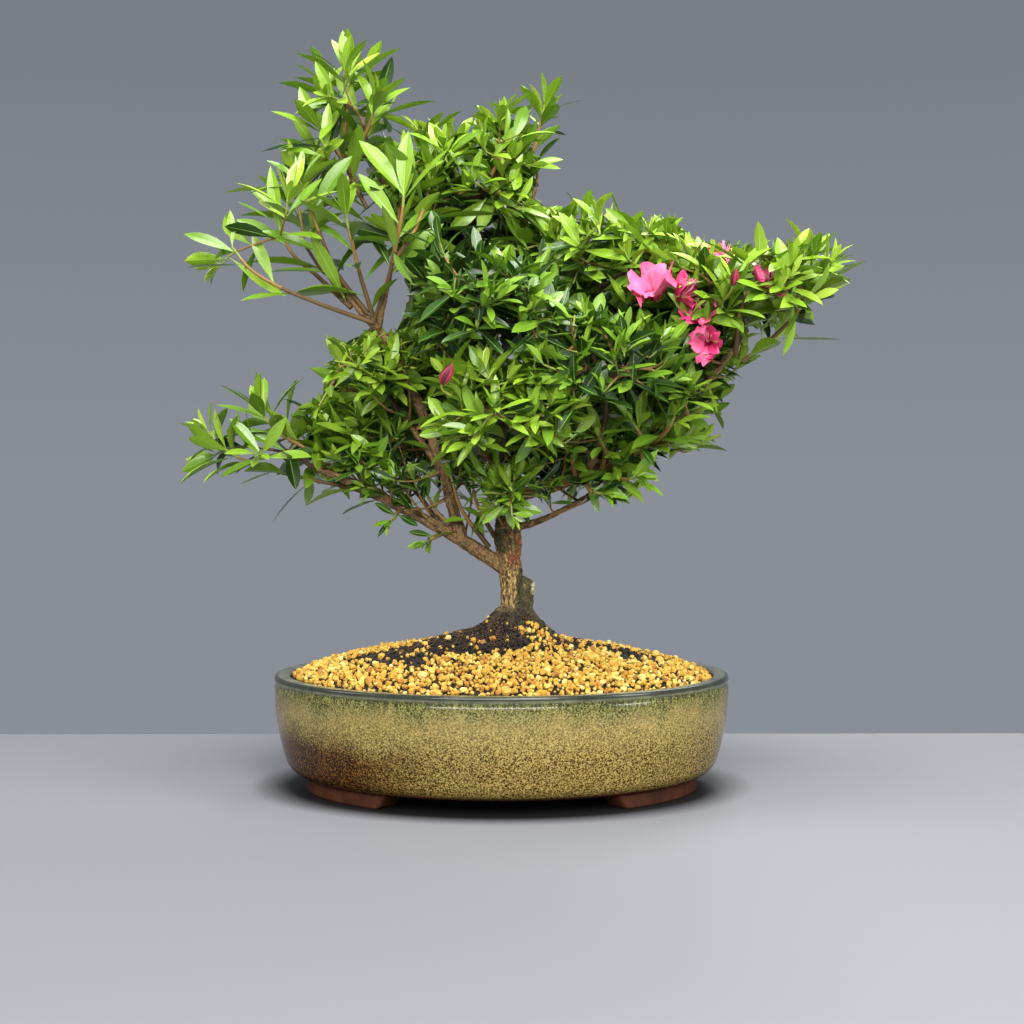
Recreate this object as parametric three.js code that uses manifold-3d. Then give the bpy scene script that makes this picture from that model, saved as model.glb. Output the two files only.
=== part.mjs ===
// A potted azalea bonsai: an oval glazed pot on four clay feet, gravel round a peat root ball,
// a flared trunk with its boughs, and masses of twigs, leaves and blossom that branch by one seeded rule.
// Millimetres, +Z up. The origin is on the floor under the middle of the pot, and -Y faces the viewer.
import * as THREE from "three";
import { mergeVertices } from "three/addons/utils/BufferGeometryUtils.js";
import Module from "manifold-3d";

const wasm = await Module();
wasm.setup();

// Driving dimensions of the pot and what fills it. Radii are along the pot's long side.
const GAP = 0.3;
const WELD = 0.002;
const POT_WIDTH = 250;
const POT_DEPTH = 200;
const POT_HEIGHT = 62;
const POT_SEGMENTS = 32;
const CURVE_STEPS = 2;
const RIM_WIDTH = 8.5;
const LIP_ROUND = 2;
const BASE_RADIUS = 110;
const HEEL_OUT = 8.5;
const HEEL_RISE = 7;
const WALL_BULGE = 0.8;
const BAND_HEIGHT = 10;
const FLOOR_TOP = 15;
const FLOOR_ROUND = 16;
const FOOT_HEIGHT = 8;
const FOOT_RADIUS = 109;
const FOOT_WIDTH = 17;
const FOOT_START = 12;
const FOOT_END = 57;
const FOOT_TAPER = 0.86;
const FOOT_SEGMENTS = 6;
const GRAVEL_DROP = 3.5;
const GRAVEL_RISE = 8;
const GRAIN_ROWS = 3;
const GRAIN_RISE = 2.6;
const GRAIN_SHIFT = 0.2;
const BALL_RADIUS = 54;
const BALL_FOOT_RADIUS = 48;
const BALL_SHOULDER = 76.3;
const BALL_TOP_RADIUS = 24;
const BALL_SLOPE = 8;
const GROUND = 86;

// Driving dimensions of the trunk. Shares run from 0 at the ground to 1 at the tip.
const TRUNK_FOOT = new THREE.Vector3(7.5, 0, GROUND);
const TRUNK_TIP = new THREE.Vector3(-1, 3, 204);
const TRUNK_BOW = new THREE.Vector3(-0.5, 0, 0);
const TRUNK_SIDES = 10;
const TRUNK_FOOT_RADIUS = 7.4;
const TRUNK_TIP_RADIUS = 3.3;
const FLARE = 6;
const FLARE_SHARE = 0.05;
const ROOT_LOBES = 5;
const LOBE_DEPTH = 0.3;
const KNUCKLE = 1.9;
const KNUCKLE_SHARE = 0.42;
const KNUCKLE_SPREAD = 0.08;
const TRUNK_RINGS = [0, 0.03, 0.07, 0.13, 0.24, 0.34, 0.42, 0.5, 0.62, 0.8, 1];
const STUB_FOOT = new THREE.Vector3(11.5, -2, 90);
const STUB_TOP = new THREE.Vector3(14, -3, 117);
const STUB_RADIUS = 5.4;
const STUB_TAPER = 0.85;
const STUB_SIDES = 7;

// Driving dimensions of limbs, twigs, leaves and blossom.
const BOUGH_STEP = 26;
const BOUGH_SIDES = 5;
const BOUGH_TAPER = 0.52;
const ENTER_DEPTH = 0.86;
const ENTER_STEP = 0.01;
const LEAST_BOUGH_RADIUS = 1.26;
const TWIG_TIP_RADIUS = 1.05;
const TWIG_SIDES = 3;
const TWIG_ROOT_SHARE = 0.5;
const FORK_BACK = 0.2;
const FORK_SHARE = 0.45;
const STEM_LEAD = 5;
const SPRIG_LEAD = 0.6;
const SHOOT_INSET = 19;
const LEAST_INNER = 0.4;
const SHOOT_AREA = 820;
const SHOOT_TRIES = 12;
const LOWEST_RISE = -0.65;
const RISE_SPAN = 1.6;
const SHELL_INNER = 0.6;
const LEAF_LENGTH = 35;
const LEAF_LEAST = 0.84;
const LEAF_SPREAD = 0.32;
const LEAF_WIDTH_SHARE = 0.33;
const LEAF_THICK_SHARE = 0.035;
const BROADEST = 0.45;
const RIDGE_PLACE = 0.36;
const LEAF_SWAY = 24;
const WHORL_STEP = 2.6;
const WHORL_TURN = 42;
const WHORL_LEANS = [70, 44, 18];
const LEAF_TRIMS = [1, 0.8, 0.62];
const PETALS = 5;
const PETAL_LENGTH = 23;
const PETAL_RISE = 13;
const NOTCH_RADIUS = 11;
const NOTCH_RISE = 11;
const THROAT_RISE = 3;
const BLOSSOM_SINK = 2;
const SPACE_GAP = 0.05;
const LIMB_GAP = 1.2;
const LIMB_STRETCHES = 8;
const SPREAD_STEPS = [0.8191725134, 0.6710436067, 0.5497004779];
const SEED_STEPS = [0.31, 0.48, 0.65];
const SWAY_STEP = 0.7548777;
const TILT_STEP = 0.5698403;
const LENGTH_STEP = 0.618034;
const TWIG_PROBES = [0.25, 0.5, 0.75, 1];
const BLADE_PROBES = [0.2, 0.35, 0.5, 0.65, 0.8, 1];
const PROBES_ACROSS = [0, 0.25, 0.5, 0.75, 1];

// Each branch is a bough and the mass of foliage at its end. It leaves the limb it grows on at a share of
// that limb's run, and heads for the heart of its mass, its middle standing off the straight line by bow.
// Reach is the half-size of the space that the mass keeps to, and thick the bough's radius at its foot.
function branch(name, on, at, heart, reach, bow, thick) {
  const middle = new THREE.Vector3(...heart);
  return { name, on, at, heart: middle, reach, bow: new THREE.Vector3(...bow), thick };
}

const BRANCHES = [
  branch("lower_left", "trunk", 0.28, [-140, 28, 190], [48, 42, 31], [0, 0, 3], 4.1),
  branch("upper_left", "lower_left", 0.19, [-127, -15, 302], [45, 41, 42], [13, 0, 22], 3.3),
  branch("right_outer", "trunk", 0.62, [138, -42, 268], [48, 46, 33], [12, 0, -22], 3.7),
  branch("crown_top", "trunk", 0.97, [-17, 10, 329], [42, 48, 43], [3, 0, 0], 3),
  branch("left_inner", "lower_left", 0.24, [-66, 32, 184], [39, 45, 33], [0, 2, 0], 2.1),
  branch("mid_left", "upper_left", 0.14, [-74, 2, 227], [36, 42, 30], [0, 2, 3], 1.9),
  branch("left_front", "upper_left", 0.56, [-54, -45, 312], [27, 37, 41], [2, 0, 0], 1.9),
  branch("apex", "crown_top", 0.36, [-86, 15, 369], [36, 42, 50], [-2, 0, -4], 2),
  branch("top_shoot", "crown_top", 0.5, [22, 10, 362], [20, 32, 34], [6, 0, -3], 1.7),
  branch("shoulder", "trunk", 0.86, [59, 0, 291], [48, 50, 38], [6, 0, -6], 2.6),
  branch("right_lower", "right_outer", 0.38, [108, 6, 218], [35, 46, 36], [0, 4, 0], 2.2),
  branch("right_back", "shoulder", 0.4, [121, 42, 274], [43, 44, 33], [0, 6, -4], 1.7),
  branch("centre_upper", "crown_top", 0.14, [-6, -60, 256], [42, 48, 36], [0, -4, -4], 2.2),
  branch("centre_right", "right_outer", 0.26, [59, -60, 227], [40, 48, 35], [0, -6, -4], 2.3),
  branch("centre_lower", "trunk", 0.7, [-1, -60, 200], [42, 48, 32], [0, -4, -3], 2.3),
  branch("lower_right", "trunk", 0.47, [73, 12, 181], [44, 48, 29], [0, 0, -8], 2.4),
  branch("back_upper", "crown_top", 0.26, [-4, 64, 300], [50, 45, 45], [0, 4, -5], 2.1),
  branch("back_right", "trunk", 0.78, [76, 62, 246], [50, 47, 45], [0, 4, -6], 2.3),
  branch("back_left", "trunk", 0.74, [-63, 62, 246], [47, 47, 45], [0, 4, -6], 2.3),
  branch("back_lower", "trunk", 0.6, [8, 62, 191], [50, 47, 38], [0, 4, -4], 2.3),
  branch("trunk_sprig", "trunk", 0.5, [8, -34, 152], [24, 27, 21], [0, 0, -2], 0),
];

// The open blossoms, each on a shoot of its mass.
const BLOSSOMS = [
  { on: "shoulder", at: [80, -46, 271] },
  { on: "right_outer", at: [101, -66, 256] },
  { on: "right_outer", at: [129, -70, 264] },
];

// Colours and finishes.
const finish = (color, roughness) => new THREE.MeshStandardMaterial({ color, roughness, metalness: 0 });
const GLAZE = finish(0x8a7d4c, 0.2);
const CLAY = finish(0x6b4331, 0.8);
const GRAVEL = finish(0xd9b264, 0.9);
const PEAT = finish(0x2e2119, 1);
const BARK = finish(0x75583c, 0.9);
const LEAF = finish(0x4f8f2c, 0.45);

// Solids: a closed three.js geometry as a solid that can be joined and cut, and back again.
function solidOf(geometry) {
  const bare = geometry.clone();
  bare.deleteAttribute("normal");
  bare.deleteAttribute("uv");
  const merged = mergeVertices(bare, WELD);
  const vertProperties = new Float32Array(merged.attributes.position.array);
  const triVerts = new Uint32Array(merged.index.array);
  return new wasm.Manifold(new wasm.Mesh({ numProp: 3, vertProperties, triVerts }));
}

function geometryOf(solid) {
  const mesh = solid.getMesh();
  const geometry = new THREE.BufferGeometry();
  geometry.setAttribute("position", new THREE.BufferAttribute(mesh.vertProperties, 3));
  geometry.setIndex(new THREE.BufferAttribute(mesh.triVerts, 1));
  return geometry;
}

// The largest body of a solid: loose scraps are dropped and sealed hollows are filled.
function largestBody(solid) {
  const bodies = solid.decompose();
  return bodies.reduce((best, body) => (body.volume() > best.volume() ? body : best));
}

// One whole body, parted again after its closest corners are welded, so that none of it hangs by a corner.
const wholeOf = (solid) => largestBody(solidOf(geometryOf(largestBody(solid))));

const bonsai = new THREE.Group();

function addNode(name, geometry, material) {
  geometry.computeVertexNormals();
  const mesh = new THREE.Mesh(geometry, material);
  mesh.name = name;
  bonsai.add(mesh);
}

// Pot, gravel and root ball: profiles turned round the upright axis and narrowed to the pot's oval.
function ovalTurning(profile) {
  const turned = new THREE.LatheGeometry(profile.getPoints(CURVE_STEPS), POT_SEGMENTS);
  turned.rotateX(Math.PI / 2);
  turned.scale(1, POT_DEPTH / POT_WIDTH, 1);
  return turned;
}

const RIM_RADIUS = POT_WIDTH / 2;
const INNER_RADIUS = RIM_RADIUS - RIM_WIDTH;

function potProfile() {
  const profile = new THREE.Path();
  profile.moveTo(0, FOOT_HEIGHT);
  profile.lineTo(BASE_RADIUS, FOOT_HEIGHT);
  const heel = BASE_RADIUS + HEEL_OUT;
  profile.quadraticCurveTo(heel - LIP_ROUND, FOOT_HEIGHT + LIP_ROUND, heel, FOOT_HEIGHT + HEEL_RISE);
  profile.quadraticCurveTo(RIM_RADIUS - WALL_BULGE, POT_HEIGHT / 2, RIM_RADIUS, POT_HEIGHT - BAND_HEIGHT);
  profile.lineTo(RIM_RADIUS, POT_HEIGHT - LIP_ROUND);
  profile.quadraticCurveTo(RIM_RADIUS, POT_HEIGHT, RIM_RADIUS - LIP_ROUND, POT_HEIGHT);
  profile.lineTo(INNER_RADIUS + LIP_ROUND, POT_HEIGHT);
  profile.quadraticCurveTo(INNER_RADIUS, POT_HEIGHT, INNER_RADIUS, POT_HEIGHT - LIP_ROUND);
  profile.lineTo(INNER_RADIUS, FLOOR_TOP + FLOOR_ROUND);
  profile.quadraticCurveTo(INNER_RADIUS, FLOOR_TOP, INNER_RADIUS - FLOOR_ROUND, FLOOR_TOP);
  profile.lineTo(0, FLOOR_TOP);
  return profile;
}

function gravelProfile() {
  const floor = FLOOR_TOP + GAP;
  const wall = INNER_RADIUS - GAP;
  const edge = POT_HEIGHT - GRAVEL_DROP;
  const profile = new THREE.Path();
  profile.moveTo(BALL_FOOT_RADIUS + GAP, floor);
  profile.lineTo(wall - FLOOR_ROUND, floor);
  profile.quadraticCurveTo(wall, floor, wall, floor + FLOOR_ROUND);
  profile.lineTo(wall, edge);
  const rim = new THREE.Vector2(wall, edge);
  const rise = new THREE.Vector2(wall - GRAVEL_RISE, edge + GRAVEL_RISE);
  const shoulder = new THREE.Vector2(BALL_RADIUS + GAP, BALL_SHOULDER);
  const top = new THREE.QuadraticBezierCurve(rim, rise, shoulder).getPoints(GRAIN_ROWS);
  for (const point of top.slice(1)) profile.lineTo(point.x, point.y);
  profile.lineTo(BALL_FOOT_RADIUS + GAP, floor);
  return profile;
}

const fraction = (value) => value - Math.floor(value);

// The heap's top is made of blunt grains: each of its faces rises to a point of its own, off its middle.
function gravelGeometry() {
  const heap = ovalTurning(gravelProfile());
  const corners = Array.from(heap.attributes.position.array);
  const cornerAt = (index) => new THREE.Vector3().fromArray(corners, index * 3);
  const rows = gravelProfile().getPoints(CURVE_STEPS);
  const edge = POT_HEIGHT - GRAVEL_DROP;
  const faces = [];
  for (let segment = 0; segment < POT_SEGMENTS; segment++) {
    for (let row = 0; row < rows.length - 1; row++) {
      const first = row + segment * rows.length;
      const [a, b, c, d] = [first, first + rows.length, first + rows.length + 1, first + 1];
      if (Math.min(rows[row].y, rows[row + 1].y) < edge) {
        faces.push(a, b, d, c, d, b);
        continue;
      }
      const number = segment * rows.length + row;
      const along = 0.5 + GRAIN_SHIFT * (2 * fraction(number * SWAY_STEP) - 1);
      const across = 0.5 + GRAIN_SHIFT * (2 * fraction(number * TILT_STEP) - 1);
      const near = cornerAt(a).lerp(cornerAt(b), along);
      const point = near.lerp(cornerAt(d).lerp(cornerAt(c), along), across);
      point.z += GRAIN_RISE;
      const top = corners.length / 3;
      corners.push(...point.toArray());
      faces.push(a, b, top, b, c, top, c, d, top, d, a, top);
    }
  }
  const grained = new THREE.BufferGeometry();
  grained.setAttribute("position", new THREE.Float32BufferAttribute(corners, 3));
  grained.setIndex(faces);
  return geometryOf(solidOf(grained));
}

function rootBallProfile() {
  const top = GROUND - GAP;
  const profile = new THREE.Path();
  profile.moveTo(0, FLOOR_TOP + GAP);
  profile.lineTo(BALL_FOOT_RADIUS, FLOOR_TOP + GAP);
  profile.lineTo(BALL_RADIUS, BALL_SHOULDER);
  profile.quadraticCurveTo(BALL_TOP_RADIUS + BALL_SLOPE, top, BALL_TOP_RADIUS, top);
  profile.lineTo(0, top);
  return profile;
}

// A foot is a sector of the pot's oval whose ends slope in towards the floor.
function footGeometry(start, end) {
  const narrow = POT_DEPTH / POT_WIDTH;
  const from = THREE.MathUtils.degToRad(start);
  const to = THREE.MathUtils.degToRad(end);
  const inner = FOOT_RADIUS - FOOT_WIDTH;
  const outline = new THREE.Shape();
  outline.absellipse(0, 0, FOOT_RADIUS, FOOT_RADIUS * narrow, from, to, false);
  outline.absellipse(0, 0, inner, inner * narrow, to, from, true);
  const depth = FOOT_HEIGHT - GAP;
  const options = { depth, bevelEnabled: false, curveSegments: FOOT_SEGMENTS };
  const foot = new THREE.ExtrudeGeometry(outline, options);
  const places = foot.attributes.position;
  const middle = (from + to) / 2;
  for (let i = 0; i < places.count; i++) {
    if (places.getZ(i) > depth / 2) continue;
    const x = places.getX(i);
    const y = places.getY(i) / narrow;
    const radius = Math.hypot(x, y);
    const offset = Math.atan2(y, x) - middle;
    const turned = middle + FOOT_TAPER * Math.atan2(Math.sin(offset), Math.cos(offset));
    places.setXY(i, radius * Math.cos(turned), radius * Math.sin(turned) * narrow);
  }
  return foot;
}

addNode("pot", ovalTurning(potProfile()), GLAZE);
addNode("gravel", gravelGeometry(), GRAVEL);
addNode("root_ball", ovalTurning(rootBallProfile()), PEAT);
addNode("foot_back_right", footGeometry(FOOT_START, FOOT_END), CLAY);
addNode("foot_back_left", footGeometry(180 - FOOT_END, 180 - FOOT_START), CLAY);
addNode("foot_front_left", footGeometry(180 + FOOT_START, 180 + FOOT_END), CLAY);
addNode("foot_front_right", footGeometry(360 - FOOT_END, 360 - FOOT_START), CLAY);

// A closed skin over a stack of rings with equal numbers of corners, capped at both ends. A leaf may grow
// out of one of its four-cornered faces, which then becomes the leaf's root.
function ringedSkin(rings, leaves = []) {
  const sides = rings[0].length;
  const corners = rings.flat();
  const faces = [];
  for (let i = 0; i + 1 < rings.length; i++) {
    for (let k = 0; k < sides; k++) {
      const a = i * sides + k;
      const b = i * sides + ((k + 1) % sides);
      const leaf = leaves.find((one) => one.ring === i && one.side === k);
      if (leaf) {
        faces.push(...leafFaces(a, b, b + sides, a + sides, corners.length));
        corners.push(leaf.tip, leaf.left, leaf.right, leaf.ridge);
      } else {
        faces.push(a, b, b + sides, a, b + sides, a + sides);
      }
    }
  }
  const last = (rings.length - 1) * sides;
  for (let k = 1; k + 1 < sides; k++) {
    faces.push(0, k + 1, k);
    faces.push(last, last + k, last + k + 1);
  }
  return new THREE.BufferGeometry().setFromPoints(corners).setIndex(faces);
}

// A leaf's ten faces between the corners a to d of its root and its own tip, left, right and ridge.
function leafFaces(a, b, c, d, first) {
  const [tip, left, right, ridge] = [first, first + 1, first + 2, first + 3];
  const beneath = [a, b, tip, b, right, tip, a, tip, left];
  const flanks = [b, c, right, d, a, left];
  const above = [c, d, ridge, d, left, ridge, left, tip, ridge, tip, right, ridge, right, c, ridge];
  return [...beneath, ...flanks, ...above];
}

// The rings of a tube through some centres, with a radius at each. They turn evenly with the path.
function tubeRings(centres, radii, sides, turns = []) {
  const last = centres.length - 1;
  let across = null;
  return centres.map((centre, i) => {
    const before = centres[Math.max(i - 1, 0)];
    const after = centres[Math.min(i + 1, last)];
    const into = centre.clone().sub(before).normalize();
    const outOf = after.clone().sub(centre).normalize();
    const along = into.add(outOf).normalize();
    if (!across) across = perpendicularTo(along);
    across = across.clone().addScaledVector(along, -across.dot(along)).normalize();
    const beside = along.clone().cross(across);
    return Array.from({ length: sides }, (_, k) => {
      const angle = (2 * Math.PI * k) / sides + (turns[i] || 0);
      const corner = centre.clone().addScaledVector(across, radii[i] * Math.cos(angle));
      return corner.addScaledVector(beside, radii[i] * Math.sin(angle));
    });
  });
}

const taperedTube = (centres, radii, sides) => ringedSkin(tubeRings(centres, radii, sides));

function perpendicularTo(direction) {
  const upright = Math.abs(direction.z) > 0.9;
  const helper = upright ? new THREE.Vector3(1, 0, 0) : new THREE.Vector3(0, 0, 1);
  return helper.cross(direction).normalize();
}

// The run of a limb: a bent line whose middle stands off the straight line by its bow.
function bentLine(from, to, bow) {
  const handle = from.clone().add(to).multiplyScalar(0.5).addScaledVector(bow, 2);
  return new THREE.QuadraticBezierCurve3(from, handle, to);
}

// Trunk: level rings, so the foot is a flat cut, with a root flare in lobes and a knuckle at the fork.
const trunkRun = bentLine(TRUNK_FOOT, TRUNK_TIP, TRUNK_BOW);

function trunkRadius(share) {
  const taper = THREE.MathUtils.lerp(TRUNK_FOOT_RADIUS, TRUNK_TIP_RADIUS, share);
  const knuckle = KNUCKLE * Math.exp(-(((share - KNUCKLE_SHARE) / KNUCKLE_SPREAD) ** 2));
  return taper + knuckle;
}

function trunkRing(share, grow) {
  const centre = trunkRun.getPoint(share);
  if (share === 1) centre.z += grow;
  const flare = FLARE * Math.exp(-share / FLARE_SHARE);
  return Array.from({ length: TRUNK_SIDES }, (_, k) => {
    const angle = (2 * Math.PI * k) / TRUNK_SIDES;
    const lobes = 1 + LOBE_DEPTH * Math.cos(ROOT_LOBES * angle);
    const radius = trunkRadius(share) + flare * lobes + grow;
    return centre.clone().add(new THREE.Vector3(radius * Math.cos(angle), radius * Math.sin(angle), 0));
  });
}

function trunkSolid(grow) {
  const shaft = solidOf(ringedSkin(TRUNK_RINGS.map((share) => trunkRing(share, grow))));
  const stubRadii = [STUB_RADIUS + grow, STUB_RADIUS * STUB_TAPER + grow];
  const stub = solidOf(taperedTube([STUB_FOOT, STUB_TOP], stubRadii, STUB_SIDES));
  return shaft.add(stub);
}

addNode("trunk", geometryOf(wholeOf(trunkSolid(0))), BARK);

// Limbs by name: the run each follows, how far along it the wood goes, and its radius at a share of it.
const limbs = new Map();
limbs.set("trunk", { run: trunkRun, end: 1, radius: trunkRadius, solid: trunkSolid });

// How deep a point lies in a mass's space: 0 at its heart, 1 at the limit of its reach.
function depthIn(branch, point) {
  const [x, y, z] = branch.reach;
  const offset = point.clone().sub(branch.heart);
  return Math.hypot(offset.x / x, offset.y / y, offset.z / z);
}

function makeBough(branch) {
  const parent = limbs.get(branch.on);
  const run = bentLine(parent.run.getPoint(branch.at), branch.heart, branch.bow);
  let end = 1;
  while (depthIn(branch, run.getPoint(end)) < ENTER_DEPTH) end -= ENTER_STEP;
  const tip = Math.max(branch.thick * BOUGH_TAPER, LEAST_BOUGH_RADIUS);
  const radius = (share) => THREE.MathUtils.lerp(branch.thick, tip, Math.min(share / end, 1));
  const steps = Math.max(2, Math.round((run.getLength() * end) / BOUGH_STEP));
  const shares = Array.from({ length: steps + 1 }, (_, i) => (end * i) / steps);
  const centres = shares.map((share) => run.getPoint(share));
  const solid = (grow) => {
    const radii = shares.map((share) => radius(share) + grow);
    return solidOf(taperedTube(centres, radii, BOUGH_SIDES));
  };
  return { run, end, radius, solid, parent };
}

for (const branch of BRANCHES) {
  if (!branch.thick) continue;
  const bough = makeBough(branch);
  limbs.set(branch.name, bough);
  const coped = bough.solid(0).subtract(bough.parent.solid(GAP));
  addNode(branch.name + "_bough", geometryOf(wholeOf(coped)), BARK);
}

// Every limb as a row of short straight stretches, to keep twigs and leaves off the wood.
const stretches = [...limbs.values()].flatMap((limb) =>
  Array.from({ length: LIMB_STRETCHES }, (_, i) => {
    const from = (limb.end * i) / LIMB_STRETCHES;
    const to = (limb.end * (i + 1)) / LIMB_STRETCHES;
    const line = new THREE.Line3(limb.run.getPoint(from), limb.run.getPoint(to));
    return { line, radius: limb.radius(from) };
  }),
);

function clearOfLimbs(point, room) {
  const nearest = new THREE.Vector3();
  return stretches.every(({ line, radius }) => {
    line.closestPointToPoint(point, true, nearest);
    return nearest.distanceTo(point) > radius + room;
  });
}

function inOwnSpace(branch, point) {
  const depth = depthIn(branch, point);
  if (depth > 1) return false;
  return BRANCHES.every((other) => other === branch || depthIn(other, point) - depth > SPACE_GAP);
}

const isFree = (branch, point, room = LIMB_GAP) => inOwnSpace(branch, point) && clearOfLimbs(point, room);

// Seeded growth. Shoot tips are spread evenly through a mass's space, denser above than below.
function shootTips(branch, seed, wanted) {
  const inner = branch.reach.map((half) => Math.max(half - SHOOT_INSET, half * LEAST_INNER));
  const tips = [];
  for (let i = 1; tips.length < wanted && i < wanted * SHOOT_TRIES; i++) {
    const [a, b, c] = SPREAD_STEPS.map((step, k) => fraction(0.5 + seed * SEED_STEPS[k] + i * step));
    const rise = LOWEST_RISE + RISE_SPAN * a;
    const level = Math.sqrt(1 - rise * rise);
    const shell = SHELL_INNER + (1 - SHELL_INNER) * Math.sqrt(c);
    const x = inner[0] * shell * level * Math.cos(2 * Math.PI * b);
    const y = inner[1] * shell * level * Math.sin(2 * Math.PI * b);
    const tip = branch.heart.clone().add(new THREE.Vector3(x, y, inner[2] * shell * rise));
    if (isFree(branch, tip)) tips.push(tip);
  }
  return tips;
}

const middleOf = (points) =>
  points.reduce((sum, point) => sum.add(point), new THREE.Vector3()).divideScalar(points.length);

// Two even groups of tips, parted across the direction in which they spread the most.
function partTips(tips) {
  const box = new THREE.Box3().setFromPoints(tips);
  const size = box.getSize(new THREE.Vector3());
  const axis = ["x", "y", "z"].reduce((best, name) => (size[name] > size[best] ? name : best));
  const sorted = [...tips].sort((one, two) => one[axis] - two[axis]);
  const half = Math.ceil(sorted.length / 2);
  return [sorted.slice(0, half), sorted.slice(half)];
}

// Twigs that lead from the end of a path to every tip: at each fork the first group carries the twig on
// and the second starts a new one. A knot of a twig knows how many tips lie beyond it, which sets its
// thickness.
function branchOut(path, tips, twigs) {
  if (tips.length === 1) {
    twigs.push([...path, { at: tips[0], beyond: 1 }]);
    return;
  }
  const fork = path[path.length - 1].at;
  const before = fork.clone().lerp(path[path.length - 2].at, FORK_BACK);
  partTips(tips).forEach((group, i) => {
    const start = i === 0 ? path : [{ at: before, beyond: group.length * TWIG_ROOT_SHARE ** 2 }];
    if (group.length === 1) {
      branchOut(start, group, twigs);
      return;
    }
    const next = fork.clone().lerp(middleOf(group), FORK_SHARE);
    branchOut([...start, { at: next, beyond: group.length }], group, twigs);
  });
}

const twigRadius = (beyond) => TWIG_TIP_RADIUS * Math.sqrt(beyond);

// Whether a twig keeps to the mass's space and off the limbs. Its first knots may be those of the stem,
// which leaves the bough's tip and is clear of the rest.
function isTwigFree(branch, twig, stemKnots) {
  return twig.slice(1).every((knot, i) => {
    const shares = i + 1 < stemKnots ? [] : i + 1 === stemKnots ? [1] : TWIG_PROBES;
    const room = LIMB_GAP + twigRadius(twig[i].beyond);
    return shares.every((share) => isFree(branch, twig[i].at.clone().lerp(knot.at, share), room));
  });
}

// The start of a mass's stem: in line with the bough and just clear of its tip, or from inside the trunk.
function stemOf(branch) {
  const limb = limbs.get(branch.name);
  if (!limb) {
    const foot = limbs.get(branch.on).run.getPoint(branch.at);
    return [foot, foot.clone().lerp(branch.heart, SPRIG_LEAD)];
  }
  const along = limb.run.getTangent(limb.end);
  const foot = limb.run.getPoint(limb.end).addScaledVector(along, GAP);
  return [foot, foot.clone().addScaledVector(along, STEM_LEAD)];
}

// A blade's corners: flat beneath, with a low ridge above, broadest a little before its middle.
// It leans from a shoot's heading towards out.
function bladeCorners(root, heading, out, leanDegrees, length, widthShare) {
  const lean = THREE.MathUtils.degToRad(leanDegrees);
  const along = heading.clone().multiplyScalar(Math.cos(lean)).addScaledVector(out, Math.sin(lean));
  const beside = heading.clone().cross(out);
  const up = along.clone().cross(beside);
  const corner = (forward, sideways, lift) => {
    const place = root.clone().addScaledVector(along, forward * length);
    place.addScaledVector(beside, sideways * length);
    return place.addScaledVector(up, lift * length);
  };
  return {
    root,
    tip: corner(1, 0, 0),
    left: corner(BROADEST, -widthShare / 2, 0),
    right: corner(BROADEST, widthShare / 2, 0),
    ridge: corner(RIDGE_PLACE, 0, LEAF_THICK_SHARE),
  };
}

// A blade or a twig as the straight edges and the triangles that another blade may not cross.
const bladeOutline = ({ root, tip, left, right }) => ({
  edges: [[root, left], [left, tip], [tip, right], [right, root], [root, tip]],
  halves: [[root, tip, left], [root, right, tip]],
});

const twigOutline = (twig) => ({
  edges: twig.slice(1).map((knot, i) => [twig[i].at, knot.at]),
  halves: [],
});

// Points all over a blade, to test its place by.
function bladeProbes({ root, tip, left, right }) {
  const edgePoint = (side, share) => {
    const isInner = share < BROADEST;
    const [from, to] = isInner ? [root, side] : [side, tip];
    return from.clone().lerp(to, isInner ? share / BROADEST : (share - BROADEST) / (1 - BROADEST));
  };
  return BLADE_PROBES.flatMap((share) => {
    const from = edgePoint(left, share);
    const to = edgePoint(right, share);
    return PROBES_ACROSS.map((across) => from.clone().lerp(to, across));
  });
}

function piercesAny(from, to, triangles) {
  const way = to.clone().sub(from);
  const ray = new THREE.Ray(from, way.clone().normalize());
  const hit = new THREE.Vector3();
  return triangles.some(([a, b, c]) => {
    return ray.intersectTriangle(a, b, c, false, hit) && hit.distanceTo(from) < way.length();
  });
}

function crosses(one, two) {
  const cut = two.edges.some(([from, to]) => piercesAny(from, to, one.halves));
  return cut || one.edges.some(([from, to]) => piercesAny(from, to, two.halves));
}

// A twig's rings, with some close together at its tip: each whorl of leaves grows from the faces between
// two of them.
function shootRings(twig) {
  const knots = twig.slice(0, -1);
  const tip = twig[twig.length - 1].at;
  const heading = tip.clone().sub(knots[knots.length - 1].at).normalize();
  const whorls = WHORL_LEANS.map((lean, w) => ({ ring: knots.length + w, lean }));
  const turns = knots.map(() => 0);
  for (let w = WHORL_LEANS.length; w >= 0; w--) {
    knots.push({ at: tip.clone().addScaledVector(heading, -w * WHORL_STEP), beyond: 1 });
    turns.push(THREE.MathUtils.degToRad((w - WHORL_LEANS.length) * WHORL_TURN));
  }
  const centres = knots.map((knot) => knot.at);
  const radii = knots.map((knot) => twigRadius(knot.beyond));
  return { rings: tubeRings(centres, radii, TWIG_SIDES, turns), heading, whorls };
}

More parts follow.
